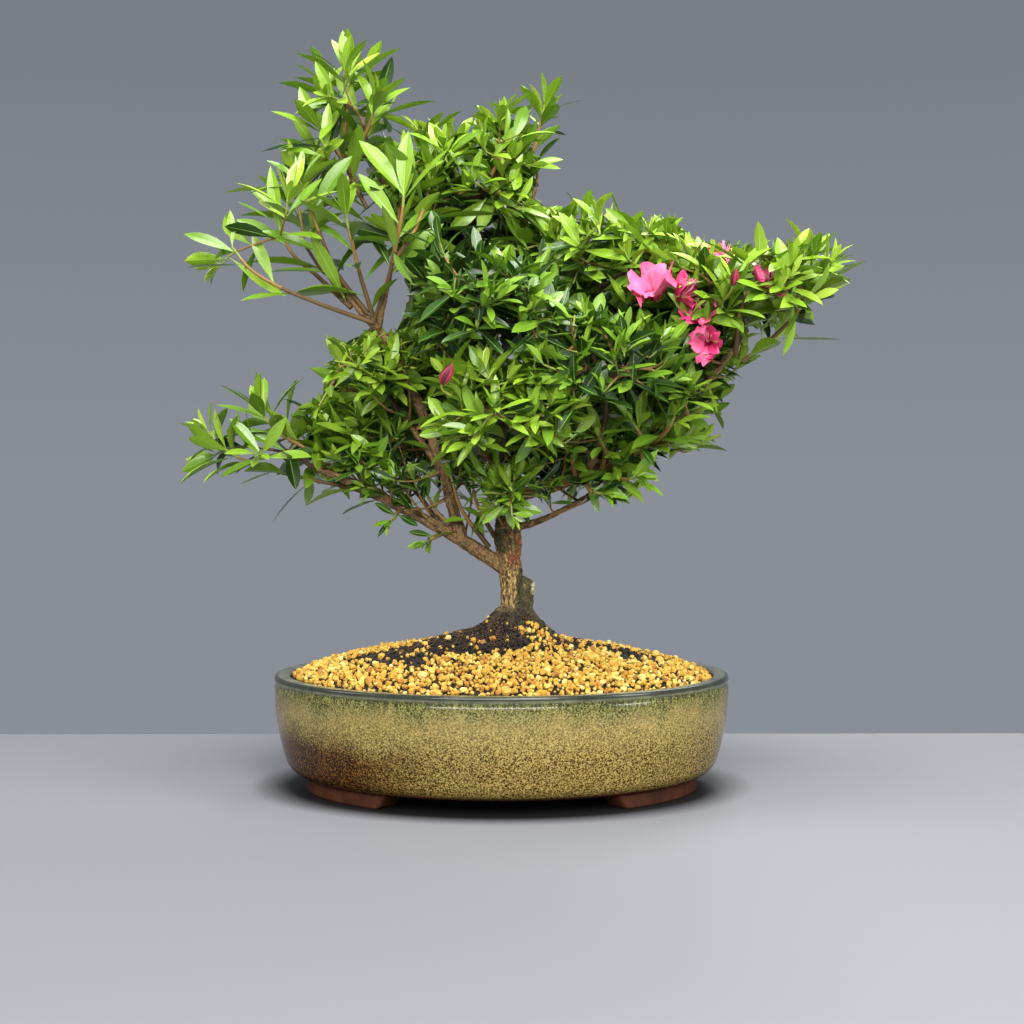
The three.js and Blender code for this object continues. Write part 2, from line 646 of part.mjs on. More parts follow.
// Leaves on the faces of a shoot's whorls. One that would leave the mass's space, touch a limb or cross
// what is placed already is tried shorter, then skipped.
function shootLeaves(branch, shoot, seed, ownTwig, placed) {
  const leaves = [];
  shoot.whorls.forEach(({ ring, lean }, w) => {
    for (let side = 0; side < TWIG_SIDES; side++) {
      const next = (side + 1) % TWIG_SIDES;
      const lower = shoot.rings[ring];
      const upper = shoot.rings[ring + 1];
      const root = middleOf([lower[side], lower[next], upper[side], upper[next]]);
      const axis = middleOf([...lower, ...upper]);
      const count = seed * 7 + w * TWIG_SIDES + side;
      const sway = THREE.MathUtils.degToRad(LEAF_SWAY * (fraction(SWAY_STEP * count) - 0.5));
      const out = root.clone().sub(axis).normalize().applyAxisAngle(shoot.heading, sway);
      const tilt = lean + LEAF_SWAY * (fraction(TILT_STEP * count) - 0.5);
      const length = LEAF_LENGTH * (LEAF_LEAST + LEAF_SPREAD * fraction(LENGTH_STEP * count));
      for (const trim of LEAF_TRIMS) {
        const leaf = bladeCorners(root, shoot.heading, out, tilt, length * trim, LEAF_WIDTH_SHARE);
        const outline = bladeOutline(leaf);
        const isClear = placed.every((other) => other === ownTwig || !crosses(outline, other));
        if (isClear && bladeProbes(leaf).every((point) => isFree(branch, point))) {
          leaves.push({ ring, side, ...leaf });
          placed.push(outline);
          break;
        }
      }
    }
  });
  return leaves;
}

// An open blossom: a funnel whose rim runs out to the petals' tips and back to the notches between them.
// Its root is sunk into the shoot.
function blossomGeometry(tip, heading) {
  const across = perpendicularTo(heading);
  const onRim = (k) => {
    const isTip = k % 2 === 0;
    const out = across.clone().applyAxisAngle(heading, (Math.PI * k) / PETALS);
    const place = tip.clone().addScaledVector(out, isTip ? PETAL_LENGTH : NOTCH_RADIUS);
    return place.addScaledVector(heading, isTip ? PETAL_RISE : NOTCH_RISE);
  };
  const root = tip.clone().addScaledVector(heading, -BLOSSOM_SINK);
  const throat = tip.clone().addScaledVector(heading, THROAT_RISE);
  const corners = [root, throat, ...Array.from({ length: 2 * PETALS }, (_, k) => onRim(k))];
  const faces = [];
  for (let k = 0; k < 2 * PETALS; k++) {
    const here = 2 + k;
    const next = 2 + ((k + 1) % (2 * PETALS));
    faces.push(0, next, here, 1, here, next);
  }
  return new THREE.BufferGeometry().setFromPoints(corners).setIndex(faces);
}

// The twigs of a mass: from its stem to every tip, without the tips whose twig would leave the space or
// touch a limb.
function twigsOf(branch, shootEnds, bloomEnds) {
  const [foot, lead] = stemOf(branch);
  let tips = [...bloomEnds, ...shootEnds];
  for (;;) {
    const first = lead.clone().lerp(middleOf(tips), FORK_SHARE);
    const path = [foot, lead, first].map((at) => ({ at, beyond: tips.length }));
    const twigs = [];
    branchOut(path, tips, twigs);
    const kept = twigs.filter((twig) => {
      const tip = twig[twig.length - 1].at;
      return bloomEnds.includes(tip) || isTwigFree(branch, twig, twig[0].at === foot ? 2 : 0);
    });
    if (kept.length === twigs.length) return twigs;
    tips = kept.map((twig) => twig[twig.length - 1].at);
  }
}

// A mass of foliage: a stem, its twigs, and leaves or a blossom on each shoot, fused into one body.
function makeFoliage(branch, seed) {
  const [x, y, z] = branch.reach;
  const shoots = Math.round((x * y + y * z + z * x) / SHOOT_AREA);
  const blossoms = BLOSSOMS.filter((bloom) => bloom.on === branch.name);
  const bloomEnds = blossoms.map((bloom) => new THREE.Vector3(...bloom.at));
  const twigs = twigsOf(branch, shootTips(branch, seed, shoots), bloomEnds);
  const placed = twigs.map(twigOutline);
  const pieces = twigs.flatMap((twig, i) => {
    const shoot = shootRings(twig);
    const tip = twig[twig.length - 1].at;
    if (bloomEnds.includes(tip)) return [ringedSkin(shoot.rings), blossomGeometry(tip, shoot.heading)];
    return [ringedSkin(shoot.rings, shootLeaves(branch, shoot, seed + 3 * i, placed[i], placed))];
  });
  const fused = wasm.Manifold.union(pieces.map(solidOf));
  if (branch.thick) return wholeOf(fused);
  return wholeOf(fused.subtract(limbs.get(branch.on).solid(GAP)));
}

BRANCHES.forEach((branch, i) => {
  addNode(branch.name + "_foliage", geometryOf(makeFoliage(branch, i + 1)), LEAF);
});

export default bonsai;
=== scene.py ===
# %% [markdown]
# # A potted azalea bonsai
# The real plant is a small azalea, trained to an open, leaning crown, in a low oval pot with a speckled glaze.
# A measured model of it is already packed: solids for the pot, the feet, the soil, the trunk, each bough and each
# mass of leaves. This lesson loads that model as a fixed frame and dresses it, piece by piece, in the same
# place and at the same size.

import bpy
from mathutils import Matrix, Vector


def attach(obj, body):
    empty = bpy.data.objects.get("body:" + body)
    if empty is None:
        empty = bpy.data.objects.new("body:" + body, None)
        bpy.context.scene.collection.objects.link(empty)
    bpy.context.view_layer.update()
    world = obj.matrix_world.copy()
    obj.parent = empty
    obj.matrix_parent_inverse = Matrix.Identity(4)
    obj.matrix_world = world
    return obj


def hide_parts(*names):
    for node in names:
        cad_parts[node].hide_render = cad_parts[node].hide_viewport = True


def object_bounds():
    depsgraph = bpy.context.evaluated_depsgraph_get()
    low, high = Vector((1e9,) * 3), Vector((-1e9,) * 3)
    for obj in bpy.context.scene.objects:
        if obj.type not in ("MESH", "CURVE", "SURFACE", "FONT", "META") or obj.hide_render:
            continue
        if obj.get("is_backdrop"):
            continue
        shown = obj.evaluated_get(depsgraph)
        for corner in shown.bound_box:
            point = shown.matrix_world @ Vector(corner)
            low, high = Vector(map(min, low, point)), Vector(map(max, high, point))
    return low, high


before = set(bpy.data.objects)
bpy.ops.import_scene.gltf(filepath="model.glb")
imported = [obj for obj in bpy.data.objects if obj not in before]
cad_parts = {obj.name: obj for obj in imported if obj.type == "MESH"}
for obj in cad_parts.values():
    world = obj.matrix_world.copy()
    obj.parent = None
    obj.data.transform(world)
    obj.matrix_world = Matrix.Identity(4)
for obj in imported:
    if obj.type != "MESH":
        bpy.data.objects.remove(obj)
frame_box = [list(corner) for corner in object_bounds()]
print("measured box in metres:", frame_box)

# %% [markdown]
# ## The bench
# A plant is many thousands of small things, so nearly every mesh here is made from arrays of points and faces.
# Modelling leaves by hand or scattering copies of one leaf would also work, but copies are lost when a model is
# handed on, and arrays build a whole mass of leaves in one go. Lengths are in millimetres on the bench and
# become metres when a piece is made.

# %% Points and faces to a piece
import math

import bmesh
import bpy
import numpy as np
from mathutils import Vector
from mathutils.kdtree import KDTree

MM = 0.001
UP = np.array([0, 0, 1.0])
STEEP = 0.9
GOLDEN_TURN = np.pi * (3 - math.sqrt(5))


def unit(ways):
    return ways / np.maximum(np.linalg.norm(ways, axis=-1, keepdims=True), 1e-9)


def perpendicular(way):
    """A way at right angles to this one."""
    helper = np.array([1.0, 0, 0]) if abs(way[2]) > STEEP else UP
    return unit(np.cross(helper, way))


def make_mesh(name, points, faces):
    faces = np.asarray(faces, np.int32)
    mesh = bpy.data.meshes.new(name)
    mesh.vertices.add(len(points))
    mesh.vertices.foreach_set("co", (np.asarray(points, float) * MM).ravel())
    mesh.loops.add(faces.size)
    mesh.loops.foreach_set("vertex_index", faces.ravel())
    mesh.polygons.add(len(faces))
    mesh.polygons.foreach_set("loop_start", np.arange(len(faces), dtype=np.int32) * faces.shape[1])
    mesh.update(calc_edges=True)
    return mesh


def add_piece(name, shape, finishes, stands_for=(), dealt=None, smooth=True):
    """A piece from a mesh, or from its points and faces. The finishes may be dealt out face by face."""
    mesh = shape if isinstance(shape, bpy.types.Mesh) else make_mesh(name, *shape)
    piece = bpy.data.objects.new(name, mesh)
    bpy.context.scene.collection.objects.link(piece)
    for finish in finishes:
        mesh.materials.append(finish)
    if dealt is not None:
        mesh.polygons.foreach_set("material_index", np.asarray(dealt, np.int32))
    if smooth:
        mesh.shade_smooth()
    else:
        mesh.shade_flat()
    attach(piece, "root")
    if stands_for:
        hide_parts(*stands_for)
    mesh.calc_loop_triangles()
    print(name, "has", len(mesh.loop_triangles), "triangles")


def join_arrays(parts):
    """Several (points, faces) pairs as one pair."""
    starts = np.cumsum([0] + [len(points) for points, _ in parts[:-1]])
    points = np.concatenate([points for points, _ in parts])
    faces = np.concatenate([faces + start for (_, faces), start in zip(parts, starts)])
    return points, faces


# %% [markdown]
# Rings of points joined by four-cornered faces make a pot, a limb or a twig alike: only the rings differ.


# %% Skins over rings, and tubes
def skin_of_rings(ring_count, sides):
    rows = np.arange(ring_count - 1)[:, None] * sides
    here = np.arange(sides)[None, :]
    there = (here + 1) % sides
    corners = [rows + here, rows + there, rows + sides + there, rows + sides + here]
    return np.stack(corners, -1).reshape(-1, 4)


def tube(centres, radii, sides):
    centres = np.asarray(centres, float)
    ways = unit(np.gradient(centres, axis=0))
    across = perpendicular(ways[0])
    turn = np.arange(sides) * 2 * np.pi / sides
    rings = []
    for centre, way, radius in zip(centres, ways, radii):
        across = unit(across - way * (across @ way))
        beside = np.cross(way, across)
        rings.append(centre + radius * (np.outer(np.cos(turn), across) + np.outer(np.sin(turn), beside)))
    return np.concatenate(rings), skin_of_rings(len(centres), sides)


# %% [markdown]
# Bark, soil and stones need an even, repeatable roughness. This is value noise: a random height at every whole
# number place, eased from one to the next. The heights come from the place itself, so each run gives the same.

# %% Repeatable roughness
CELL_PRIMES = np.array([73856093, 19349663, 83492791])
SEED_PRIME, MIX_PRIME = 7919, 1274126177


def roughness_at(points, seed):
    base = np.floor(points).astype(np.int64)
    part = points - base
    ease = part * part * (3 - 2 * part)
    total = np.zeros(len(points))
    for corner in np.ndindex(2, 2, 2):
        mixed = np.bitwise_xor.reduce((base + corner) * CELL_PRIMES, axis=1) ^ (seed * SEED_PRIME)
        mixed = (mixed ^ (mixed >> 13)) * MIX_PRIME
        height = ((mixed ^ (mixed >> 16)) & 0xFFFF) / 0xFFFF
        total += height * np.prod(np.where(corner, ease, 1 - ease), axis=1)
    return 2 * total - 1


def roughness_over(x, y, z, seed):
    return roughness_at(np.stack(np.broadcast_arrays(x, y, z), -1), seed)


print("roughness at three places:", roughness_over([0.5, 3.2, 9], [0, 1, 9], [0, 0, 0.4], 1).round(3))

# %% [markdown]
# Finishes are node trees under one glossy-or-matt surface shader. A small helper adds nodes and wires them, so
# that a finish reads as a recipe. Positions in the finishes are the piece's own, in metres.


# %% Recipes for finishes
def linear(colour):
    """A colour as seen on screen, 0 to 255, as the light that a shader works in."""
    seen = np.array(colour) / 255
    return tuple(np.where(seen <= 0.04045, seen / 12.92, ((seen + 0.055) / 1.055) ** 2.4))


class Finish:
    def __init__(self, name, colour, roughness, **sockets):
        self.material = bpy.data.materials.new(name)
        self.material.use_nodes = True
        self.tree = self.material.node_tree
        self.shader = self.tree.nodes["Principled BSDF"]
        self.shader.inputs["Base Color"].default_value = (*linear(colour), 1)
        self.shader.inputs["Roughness"].default_value = roughness
        for socket, value in sockets.items():
            self.shader.inputs[socket.replace("_", " ")].default_value = value
        self.place = None

    def fill(self, socket, value):
        """A socket gets what another node gives, a colour, or a plain value."""
        if hasattr(value, "is_output"):
            self.tree.links.new(value, socket)
        else:
            socket.default_value = value

    def node(self, kind, inputs=(), **settings):
        node = self.tree.nodes.new("ShaderNode" + kind)
        for key, value in settings.items():
            setattr(node, key, value)
        for socket, value in dict(inputs).items():
            self.fill(node.inputs[socket], value)
        return node

    def position(self, stretch=(1, 1, 1)):
        if self.place is None:
            self.place = self.node("TexCoord").outputs["Object"]
        return self.node("Mapping", {"Vector": self.place, "Scale": stretch}).outputs["Vector"]

    def from_middle(self, stretch):
        """How far out a place lies, with each axis stretched."""
        return self.node("VectorMath", {0: self.position(stretch)}, operation="LENGTH").outputs["Value"]

    def noise(self, scale, detail=2.0, stretch=(1, 1, 1), distortion=0.0):
        inputs = {"Vector": self.position(stretch), "Scale": scale, "Detail": detail, "Distortion": distortion}
        return self.node("TexNoise", inputs).outputs["Fac"]

    def carried(self, name):
        """A number that the mesh carries at each of its points."""
        return self.node("Attribute", attribute_name=name).outputs["Fac"]

    def span(self, value, low, high, to_low=0.0, to_high=1.0):
        inputs = {"Value": value, "From Min": low, "From Max": high, "To Min": to_low, "To Max": to_high}
        return self.node("MapRange", inputs).outputs["Result"]

    def ramp(self, value, *stops):
        node = self.node("ValToRGB", {"Fac": value})
        stripes = node.color_ramp.elements
        while len(stripes) < len(stops):
            stripes.new(0.5)
        for stripe, (at, colour) in zip(stripes, stops):
            stripe.position = at
            stripe.color = (*linear(colour), 1)
        return node.outputs["Color"]

    def blend(self, share, first, second):
        """A mix of two colours. Sockets 6 and 7 and output 2 are the node's colour ones."""
        node = self.node("Mix", data_type="RGBA")
        for number, value in ((0, share), (6, first), (7, second)):
            self.fill(node.inputs[number], (*linear(value), 1) if isinstance(value, tuple) else value)
        return node.outputs[2]

    def combine(self, first, second, operation="ADD"):
        return self.node("Math", {0: first, 1: second}, operation=operation).outputs["Value"]

    def colour(self, value):
        self.tree.links.new(value, self.shader.inputs["Base Color"])

    def rough(self, value):
        self.tree.links.new(value, self.shader.inputs["Roughness"])

    def gloss(self, value):
        self.tree.links.new(value, self.shader.inputs["Specular IOR Level"])

    def relief(self, value, depth_mm, strength=1.0):
        inputs = {"Height": value, "Distance": depth_mm * MM, "Strength": strength}
        self.tree.links.new(self.node("Bump", inputs).outputs["Normal"], self.shader.inputs["Normal"])


def plain(name, colour, roughness, grain, depth_mm, strength, **sockets):
    """A material of one colour, with a fine relief. The grain is the scale and the detail of its noise."""
    finish = Finish(name, colour, roughness, **sockets)
    finish.relief(finish.noise(*grain), depth_mm, strength)
    return finish.material


def plain_set(label, colours, *recipe, **sockets):
    return [plain(f"{label}_{number}", colour, *recipe, **sockets) for number, colour in enumerate(colours)]


# %% [markdown]
# ## Studio
# The picture was taken almost level with the soil, from about nine tenths of a metre, with a slightly long lens.
# The place of the camera was worked out from the oval of the pot's rim and its feet. The floor is a pale sheet
# that ends where the wall begins in the picture, with the deep shade under the pot laid into its finish. The air
# round it has the wall's grey, paler towards the floor, so the crown stands before the same grey, and no wall is
# needed that would hide the plant from behind.

# %% Camera
EYE = Vector((0.0004, -0.8987, 0.1760))
AIM = Vector((0.0057, 0.0, 0.1505))
LENS_MM, SENSOR_MM = 57.21, 36.0

camera = bpy.data.objects.new("camera", bpy.data.cameras.new("camera"))
bpy.context.scene.collection.objects.link(camera)
camera.location = EYE
camera.rotation_euler = (AIM - EYE).to_track_quat("-Z", "Y").to_euler()
camera.data.lens = LENS_MM
camera.data.sensor_width = SENSOR_MM
camera.data.clip_start = 0.01
bpy.context.scene.camera = camera
bpy.context.scene.view_settings.view_transform = "Standard"
print("camera at", tuple(round(value, 3) for value in EYE))

# %% Floor
SHEET_REACH, SHEET_EDGE, SHEET_GREY = 6000, 166, (121, 123, 130)
SHADE_REACH, SHADE_BEGINS, SHADE_FULL, SHADE_GREY = (0.120, 0.093), 1.16, 0.97, (6, 6, 8)

pale_sheet = Finish("pale_sheet", SHEET_GREY, 0.6)
to_shade_edge = pale_sheet.from_middle((1 / SHADE_REACH[0], 1 / SHADE_REACH[1], 0))
shade = pale_sheet.span(to_shade_edge, SHADE_BEGINS, SHADE_FULL)
pale_sheet.colour(pale_sheet.blend(shade, SHEET_GREY, SHADE_GREY))
pale_sheet.relief(pale_sheet.noise(900, 4), 0.05, 0.3)
far = SHEET_REACH
corners = [(-far, -far, 0), (far, -far, 0), (far, SHEET_EDGE, 0), (-far, SHEET_EDGE, 0)]
floor = bpy.data.objects.new("floor", make_mesh("floor", corners, [(0, 1, 2, 3)]))
bpy.context.scene.collection.objects.link(floor)
floor.data.materials.append(pale_sheet.material)
floor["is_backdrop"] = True
print("floor ends", SHEET_EDGE, "mm behind the middle of the pot")

# %% Lights
LIGHT_AIM = Vector((0, 0, 0.2))
WARM, WARMER, WHITE = (1.0, 0.98, 0.93), (1.0, 0.97, 0.9), (1, 1, 1)
# name, place and size in metres, watts, tint
SOFTBOXES = [
    ("sky_softbox", (0.0, -0.3, 1.5), (0.8, 0.8), 21, WARM),
    ("front_softbox", (-0.1, -1.9, 1.08), (1.9, 0.9), 60, WARM),
    ("key_softbox", (0.3, -1.15, 1.25), (0.4, 0.4), 13, WARMER),
    ("right_softbox", (1.2, -0.7, 0.8), (0.4, 0.8), 13, WHITE),
    ("left_softbox", (-1.3, -0.2, 1.0), (0.4, 0.6), 6, WHITE),
    ("back_softbox", (0.5, 1.2, 1.2), (0.8, 0.6), 9, WHITE),
]
for name, place, size, watts, tint in SOFTBOXES:
    light = bpy.data.lights.new(name, "AREA")
    light.shape = "RECTANGLE"
    light.size, light.size_y = size
    light.energy = watts
    light.color = tint
    softbox = bpy.data.objects.new(name, light)
    bpy.context.scene.collection.objects.link(softbox)
    softbox.location = place
    softbox.rotation_euler = (LIGHT_AIM - Vector(place)).to_track_quat("-Z", "Y").to_euler()
print(len(SOFTBOXES), "softboxes")

# %% Air
AIR_GREYS = [(0.0, (138, 142, 150)), (0.3, (118, 123, 131))]

world = bpy.data.worlds.new("studio_air")
bpy.context.scene.world = world
world.use_nodes = True
air = world.node_tree
direction = air.nodes.new("ShaderNodeTexCoord")
upward = air.nodes.new("ShaderNodeSeparateXYZ")
paling = air.nodes.new("ShaderNodeValToRGB")
air.links.new(direction.outputs["Generated"], upward.inputs["Vector"])
air.links.new(upward.outputs["Z"], paling.inputs["Fac"])
for stop, (rise, grey) in zip(paling.color_ramp.elements, AIR_GREYS):
    stop.position, stop.color = rise, (*linear(grey), 1)
air.links.new(paling.outputs["Color"], air.nodes["Background"].inputs["Color"])
air.nodes["Background"].inputs["Strength"].default_value = 1.0
print("air is graded over", len(AIR_GREYS), "greys")

# %% [markdown]
# ## Pot
# The pot is stoneware, thrown or pressed to an oval, with a flat rim, a rounded lip, and a wall that curves in
# to a foot ring. It could be a modelled and smoothed box, but one profile turned round and narrowed to the oval
# gives the same surface as the measured solid, with as many rings as the gloss needs.

# %% Pot profile and body
POT_HALF_WIDTH, POT_HALF_DEPTH, POT_HEIGHT = 125.0, 100.0, 62.0
POT_NARROW = POT_HALF_DEPTH / POT_HALF_WIDTH
RIM_WIDTH, LIP_ROUND, FLOOR_TOP, FLOOR_ROUND = 8.5, 2.0, 15.0, 16.0
BASE_RADIUS, HEEL_OUT, HEEL_RISE, FOOT_HEIGHT = 110.0, 8.5, 7.0, 8.0
BASE_INSETS, WALL_BOW, WALL_STEPS, BAND_HEIGHT = (22, 1.5), 0.8, 24, 10.0
GROOVE, GROOVE_STEPS = [(0, 6), (0.9, 4.6), (0.1, 3.2)], 7
AXIS, POT_ROUND = 0.01, 160
INNER_RADIUS = POT_HALF_WIDTH - RIM_WIDTH


def bend(start, handle, end, steps=8):
    share = np.linspace(0, 1, steps)[:, None]
    start, handle, end = (np.array(point, float) for point in (start, handle, end))
    return (1 - share) ** 2 * start + 2 * share * (1 - share) * handle + share**2 * end


def lathe(profile, segments):
    turn = np.arange(segments) * 2 * np.pi / segments
    radius, height = profile[:, 0][:, None], profile[:, 1][:, None]
    ring = [radius * np.cos(turn), radius * np.sin(turn) * POT_NARROW, height + 0 * turn]
    return np.stack(ring, -1).reshape(-1, 3), skin_of_rings(len(profile), segments)


wide, tall = POT_HALF_WIDTH, POT_HEIGHT
heel, heel_top = BASE_RADIUS + HEEL_OUT, FOOT_HEIGHT + HEEL_RISE
hollow_foot = FLOOR_TOP + FLOOR_ROUND
pot_profile = np.concatenate([
    [(AXIS, FOOT_HEIGHT), *[(BASE_RADIUS - inset, FOOT_HEIGHT) for inset in BASE_INSETS]],
    bend((BASE_RADIUS, FOOT_HEIGHT), (heel - LIP_ROUND, FOOT_HEIGHT + LIP_ROUND), (heel, heel_top)),
    bend((heel, heel_top), (wide - WALL_BOW, tall / 2), (wide, tall - BAND_HEIGHT), WALL_STEPS)[1:],
    bend(*[(wide - deep, tall - down) for deep, down in GROOVE], GROOVE_STEPS),
    bend((wide, tall - LIP_ROUND), (wide, tall), (wide - LIP_ROUND, tall)),
    bend((INNER_RADIUS + LIP_ROUND, tall), (INNER_RADIUS, tall), (INNER_RADIUS, tall - LIP_ROUND)),
    bend((INNER_RADIUS, hollow_foot), (INNER_RADIUS, FLOOR_TOP), (INNER_RADIUS - FLOOR_ROUND, FLOOR_TOP)),
    [(AXIS, FLOOR_TOP)],
])
print("pot profile has", len(pot_profile), "points")

# %% [markdown]
# The glaze ran green under the rim and thinned to a tan body with a fine golden speckle. It is browner towards the
# foot, partly where the glaze thins and partly as painted shade, fullest at the left end, away from the light.
# A paler band high on the wall is a painted reflection, and the dark line along the lip's outer edge is painted
# too, a dark reflection. Each of these is a band by height or a noise at its own scale: drips are noise squeezed
# sideways, and the speckle is noise bent until it looks like small worms.

# %% Glaze
TAN_STOPS = [(0.38, (50, 37, 12)), (0.47, (102, 83, 37)), (0.53, (138, 120, 64)), (0.64, (168, 150, 90))]
BROWN_STOPS = [(0.4, (20, 8, 2)), (0.52, (52, 27, 6)), (0.64, (118, 80, 27))]
GREEN_STOPS = [(0.38, (32, 33, 14)), (0.48, (77, 78, 38)), (0.6, (122, 121, 70))]
LIP_STOPS = [(0.3, (66, 72, 58)), (0.7, (118, 122, 98))]
REFLECTED_TAN, COMBED_DARK, LIP_REFLECTION_DARK, BARE_CLAY = (132, 119, 72), (40, 46, 30), (26, 30, 26), (84, 48, 32)
# where each band begins and where it is full: sideways, out from the middle, and in height, all in metres
LEFT_SIDE, RIGHT_SIDE, LIP_EDGE = (-0.015, -0.075), (0.06, 0.11), (0.1228, 0.1234)
BARE_BAND, GLOSSY, BROWN_BAND, REFLECTION_BAND = (0.0104, 0.0092), (0.018, 0.044), (0.042, 0.026), (0.03, 0.05)
GREEN_BAND, COMBED_BAND = (0.0455, 0.0555), (0.0525, 0.057)
LIP_BAND, LIP_TOP = (0.0582, 0.0596), (0.0592, 0.0602)

glaze = Finish("speckled_glaze", (140, 122, 70), 0.16, Coat_Weight=0.1, Coat_Roughness=0.04)
sideways, _, height = glaze.node("SeparateXYZ", {"Vector": glaze.position()}).outputs
speckle = glaze.noise(1200, 1.0, (1, 1, 1.1), 0.9)
clouds = glaze.span(glaze.noise(24, 3), 0.3, 0.7, -0.011, 0.011)
drips = glaze.span(glaze.noise(90, 3, (1, 1, 0.1)), 0.3, 0.7, -0.004, 0.004)
teeth = glaze.span(glaze.noise(620, 2, (1, 1, 0.1)), 0.5, 0.6, 0, 0.75)
# painted shade: the bottom band is browner at the left end, away from the light, and a little at the right end
ends = glaze.combine(glaze.span(sideways, *LEFT_SIDE), glaze.span(sideways, *RIGHT_SIDE, 0, 0.28), "MAXIMUM")
low = glaze.span(glaze.combine(height, clouds), *BROWN_BAND)
brown_and_shade_share = glaze.combine(low, glaze.combine(ends, 0.22, "MAXIMUM"), "MULTIPLY")
body = glaze.blend(brown_and_shade_share, glaze.ramp(speckle, *TAN_STOPS), glaze.ramp(speckle, *BROWN_STOPS))
# painted reflection: a paler band of tan high on the wall
body = glaze.blend(glaze.span(height, *REFLECTION_BAND, 0, 0.55), body, REFLECTED_TAN)
body = glaze.blend(glaze.span(glaze.combine(height, drips), *GREEN_BAND), body, glaze.ramp(speckle, *GREEN_STOPS))
body = glaze.blend(glaze.combine(teeth, glaze.span(height, *COMBED_BAND), "MULTIPLY"), body, COMBED_DARK)
body = glaze.blend(glaze.span(height, *LIP_BAND), body, glaze.ramp(glaze.noise(90, 3), *LIP_STOPS))
# painted dark reflection: a dark line along the lip's outer edge
outward = glaze.span(glaze.from_middle((1, 1 / POT_NARROW, 0)), *LIP_EDGE)
lip_reflection_line = glaze.combine(outward, glaze.span(height, *LIP_TOP, 0, 0.85), "MULTIPLY")
body = glaze.blend(lip_reflection_line, body, LIP_REFLECTION_DARK)
glaze.colour(glaze.blend(glaze.span(height, *BARE_BAND), body, BARE_CLAY))
glaze.rough(glaze.span(speckle, 0.3, 0.7, 0.24, 0.12))
glaze.gloss(glaze.span(height, *GLOSSY, 0.06, 0.3))
glaze.relief(speckle, 0.1, 0.35)
add_piece("glazed_pot", lathe(pot_profile, POT_ROUND), [glaze.material], ["pot"])

# %% [markdown]
# ## Feet
# Four curved feet of bare clay lift the pot, so that water runs out and air gets under. Each is a stretch of the
# oval whose ends slope in. A cross-section with rounded edges is carried round the curve, so that light catches
# the edges as on scraped clay.

# %% Clay feet
FOOT_RADIUS, FOOT_WIDTH, FOOT_START, FOOT_END, FOOT_TAPER = 109.0, 17.0, 12.0, 57.0, 0.86
FOOT_EDGE, FOOT_GAP, FOOT_RINGS = 1.3, 0.3, 34
# the corners of the cross-section: out or in, top or bottom, and the turn that its rounding starts at
FOOT_CORNERS = [(0, 0, 180), (1, 0, 270), (1, 1, 0), (0, 1, 90)]
END_PLACES, END_SIZES = np.array([0, 0, 0.012]), np.array([0.02, 0.75, 1.0])
CLAY_STOPS, CLAY_SMUDGE = [(0.3, (54, 27, 16)), (0.7, (100, 56, 37))], (48, 27, 17)


def foot_arrays(start, end):
    section = []
    for out, up, turn in FOOT_CORNERS:
        reach = FOOT_RADIUS - FOOT_WIDTH + FOOT_EDGE + out * (FOOT_WIDTH - 2 * FOOT_EDGE)
        rise = FOOT_EDGE + up * (FOOT_HEIGHT - FOOT_GAP - 2 * FOOT_EDGE)
        for angle in np.radians(turn + np.array([0, 30, 60, 90])):
            section.append((reach + FOOT_EDGE * np.cos(angle), rise + FOOT_EDGE * np.sin(angle)))
    section = np.array(section)
    middle = section.mean(0)
    places = np.concatenate([END_PLACES, np.linspace(0.035, 0.965, FOOT_RINGS), 1 - END_PLACES[::-1]])
    sizes = np.concatenate([END_SIZES, np.ones(FOOT_RINGS), END_SIZES[::-1]])
    rings = []
    for share, size in zip(places, sizes):
        reach, rise = (middle + (section - middle) * size).T
        taper = 1 - (1 - FOOT_TAPER) * (1 - rise / FOOT_HEIGHT)
        angle = np.radians((start + end) / 2 + (share - 0.5) * (end - start) * taper)
        rings.append(np.stack([reach * np.cos(angle), reach * np.sin(angle) * POT_NARROW, rise], -1))
    return np.concatenate(rings), skin_of_rings(len(rings), len(section))


clay = Finish("bare_clay", (86, 51, 35), 0.75, Specular_IOR_Level=0.15)
clay_grain = clay.noise(1400, 4)
smudges = clay.span(clay.noise(70, 3), 0.3, 0.7)
clay.colour(clay.blend(smudges, clay.ramp(clay_grain, *CLAY_STOPS), CLAY_SMUDGE))
clay.relief(clay_grain, 0.25, 0.6)
for foot_name, start, end in [
    ("foot_back_right", FOOT_START, FOOT_END),
    ("foot_back_left", 180 - FOOT_END, 180 - FOOT_START),
    ("foot_front_left", 180 + FOOT_START, 180 + FOOT_END),
    ("foot_front_right", 360 - FOOT_END, 360 - FOOT_START),
]:
    add_piece("clay_" + foot_name, foot_arrays(start, end), [clay.material], [foot_name])


# %% [markdown]
# ## Soil
# A root ball of dark peat stands in the middle, and ochre grit is heaped round it up to the rim. The bed is a
# turned surface like the pot's, roughened, and the grit is loose stones over it. Each stone starts as a small
# ball cut by a few random planes, which gives the blunt corners of crushed pumice. Eight such stones, turned and
# sized at random, are enough for thousands.

# %% Height of the bed
GRAVEL_EDGE, BALL_RADIUS, BALL_SHOULDER, BALL_TOP_RADIUS, GROUND = 58.5, 54.0, 76.3, 24.0, 86.0
BED_GAP, BED_SWELL = 0.3, 8.0
FOOT_OF_TRUNK = np.array([7.5, 0.0])
DIP_DEPTH, DIP_OUT, DIP_WIDTH, HEAP_HEIGHT, HEAP_WIDTH = 3.6, 34, 17, 9.0, 17.5
PEAT_FULL, PEAT_FALL, PEAT_RAGGED = 2.0, 1.6, 0.75
# middle and reach of each patch of open peat, in x and y
PEAT_PATCHES = [(-27, -10, 52, 40), (3, 6, 37, 34), (66, -6, 36, 20), (-72, -10, 17, 10)]

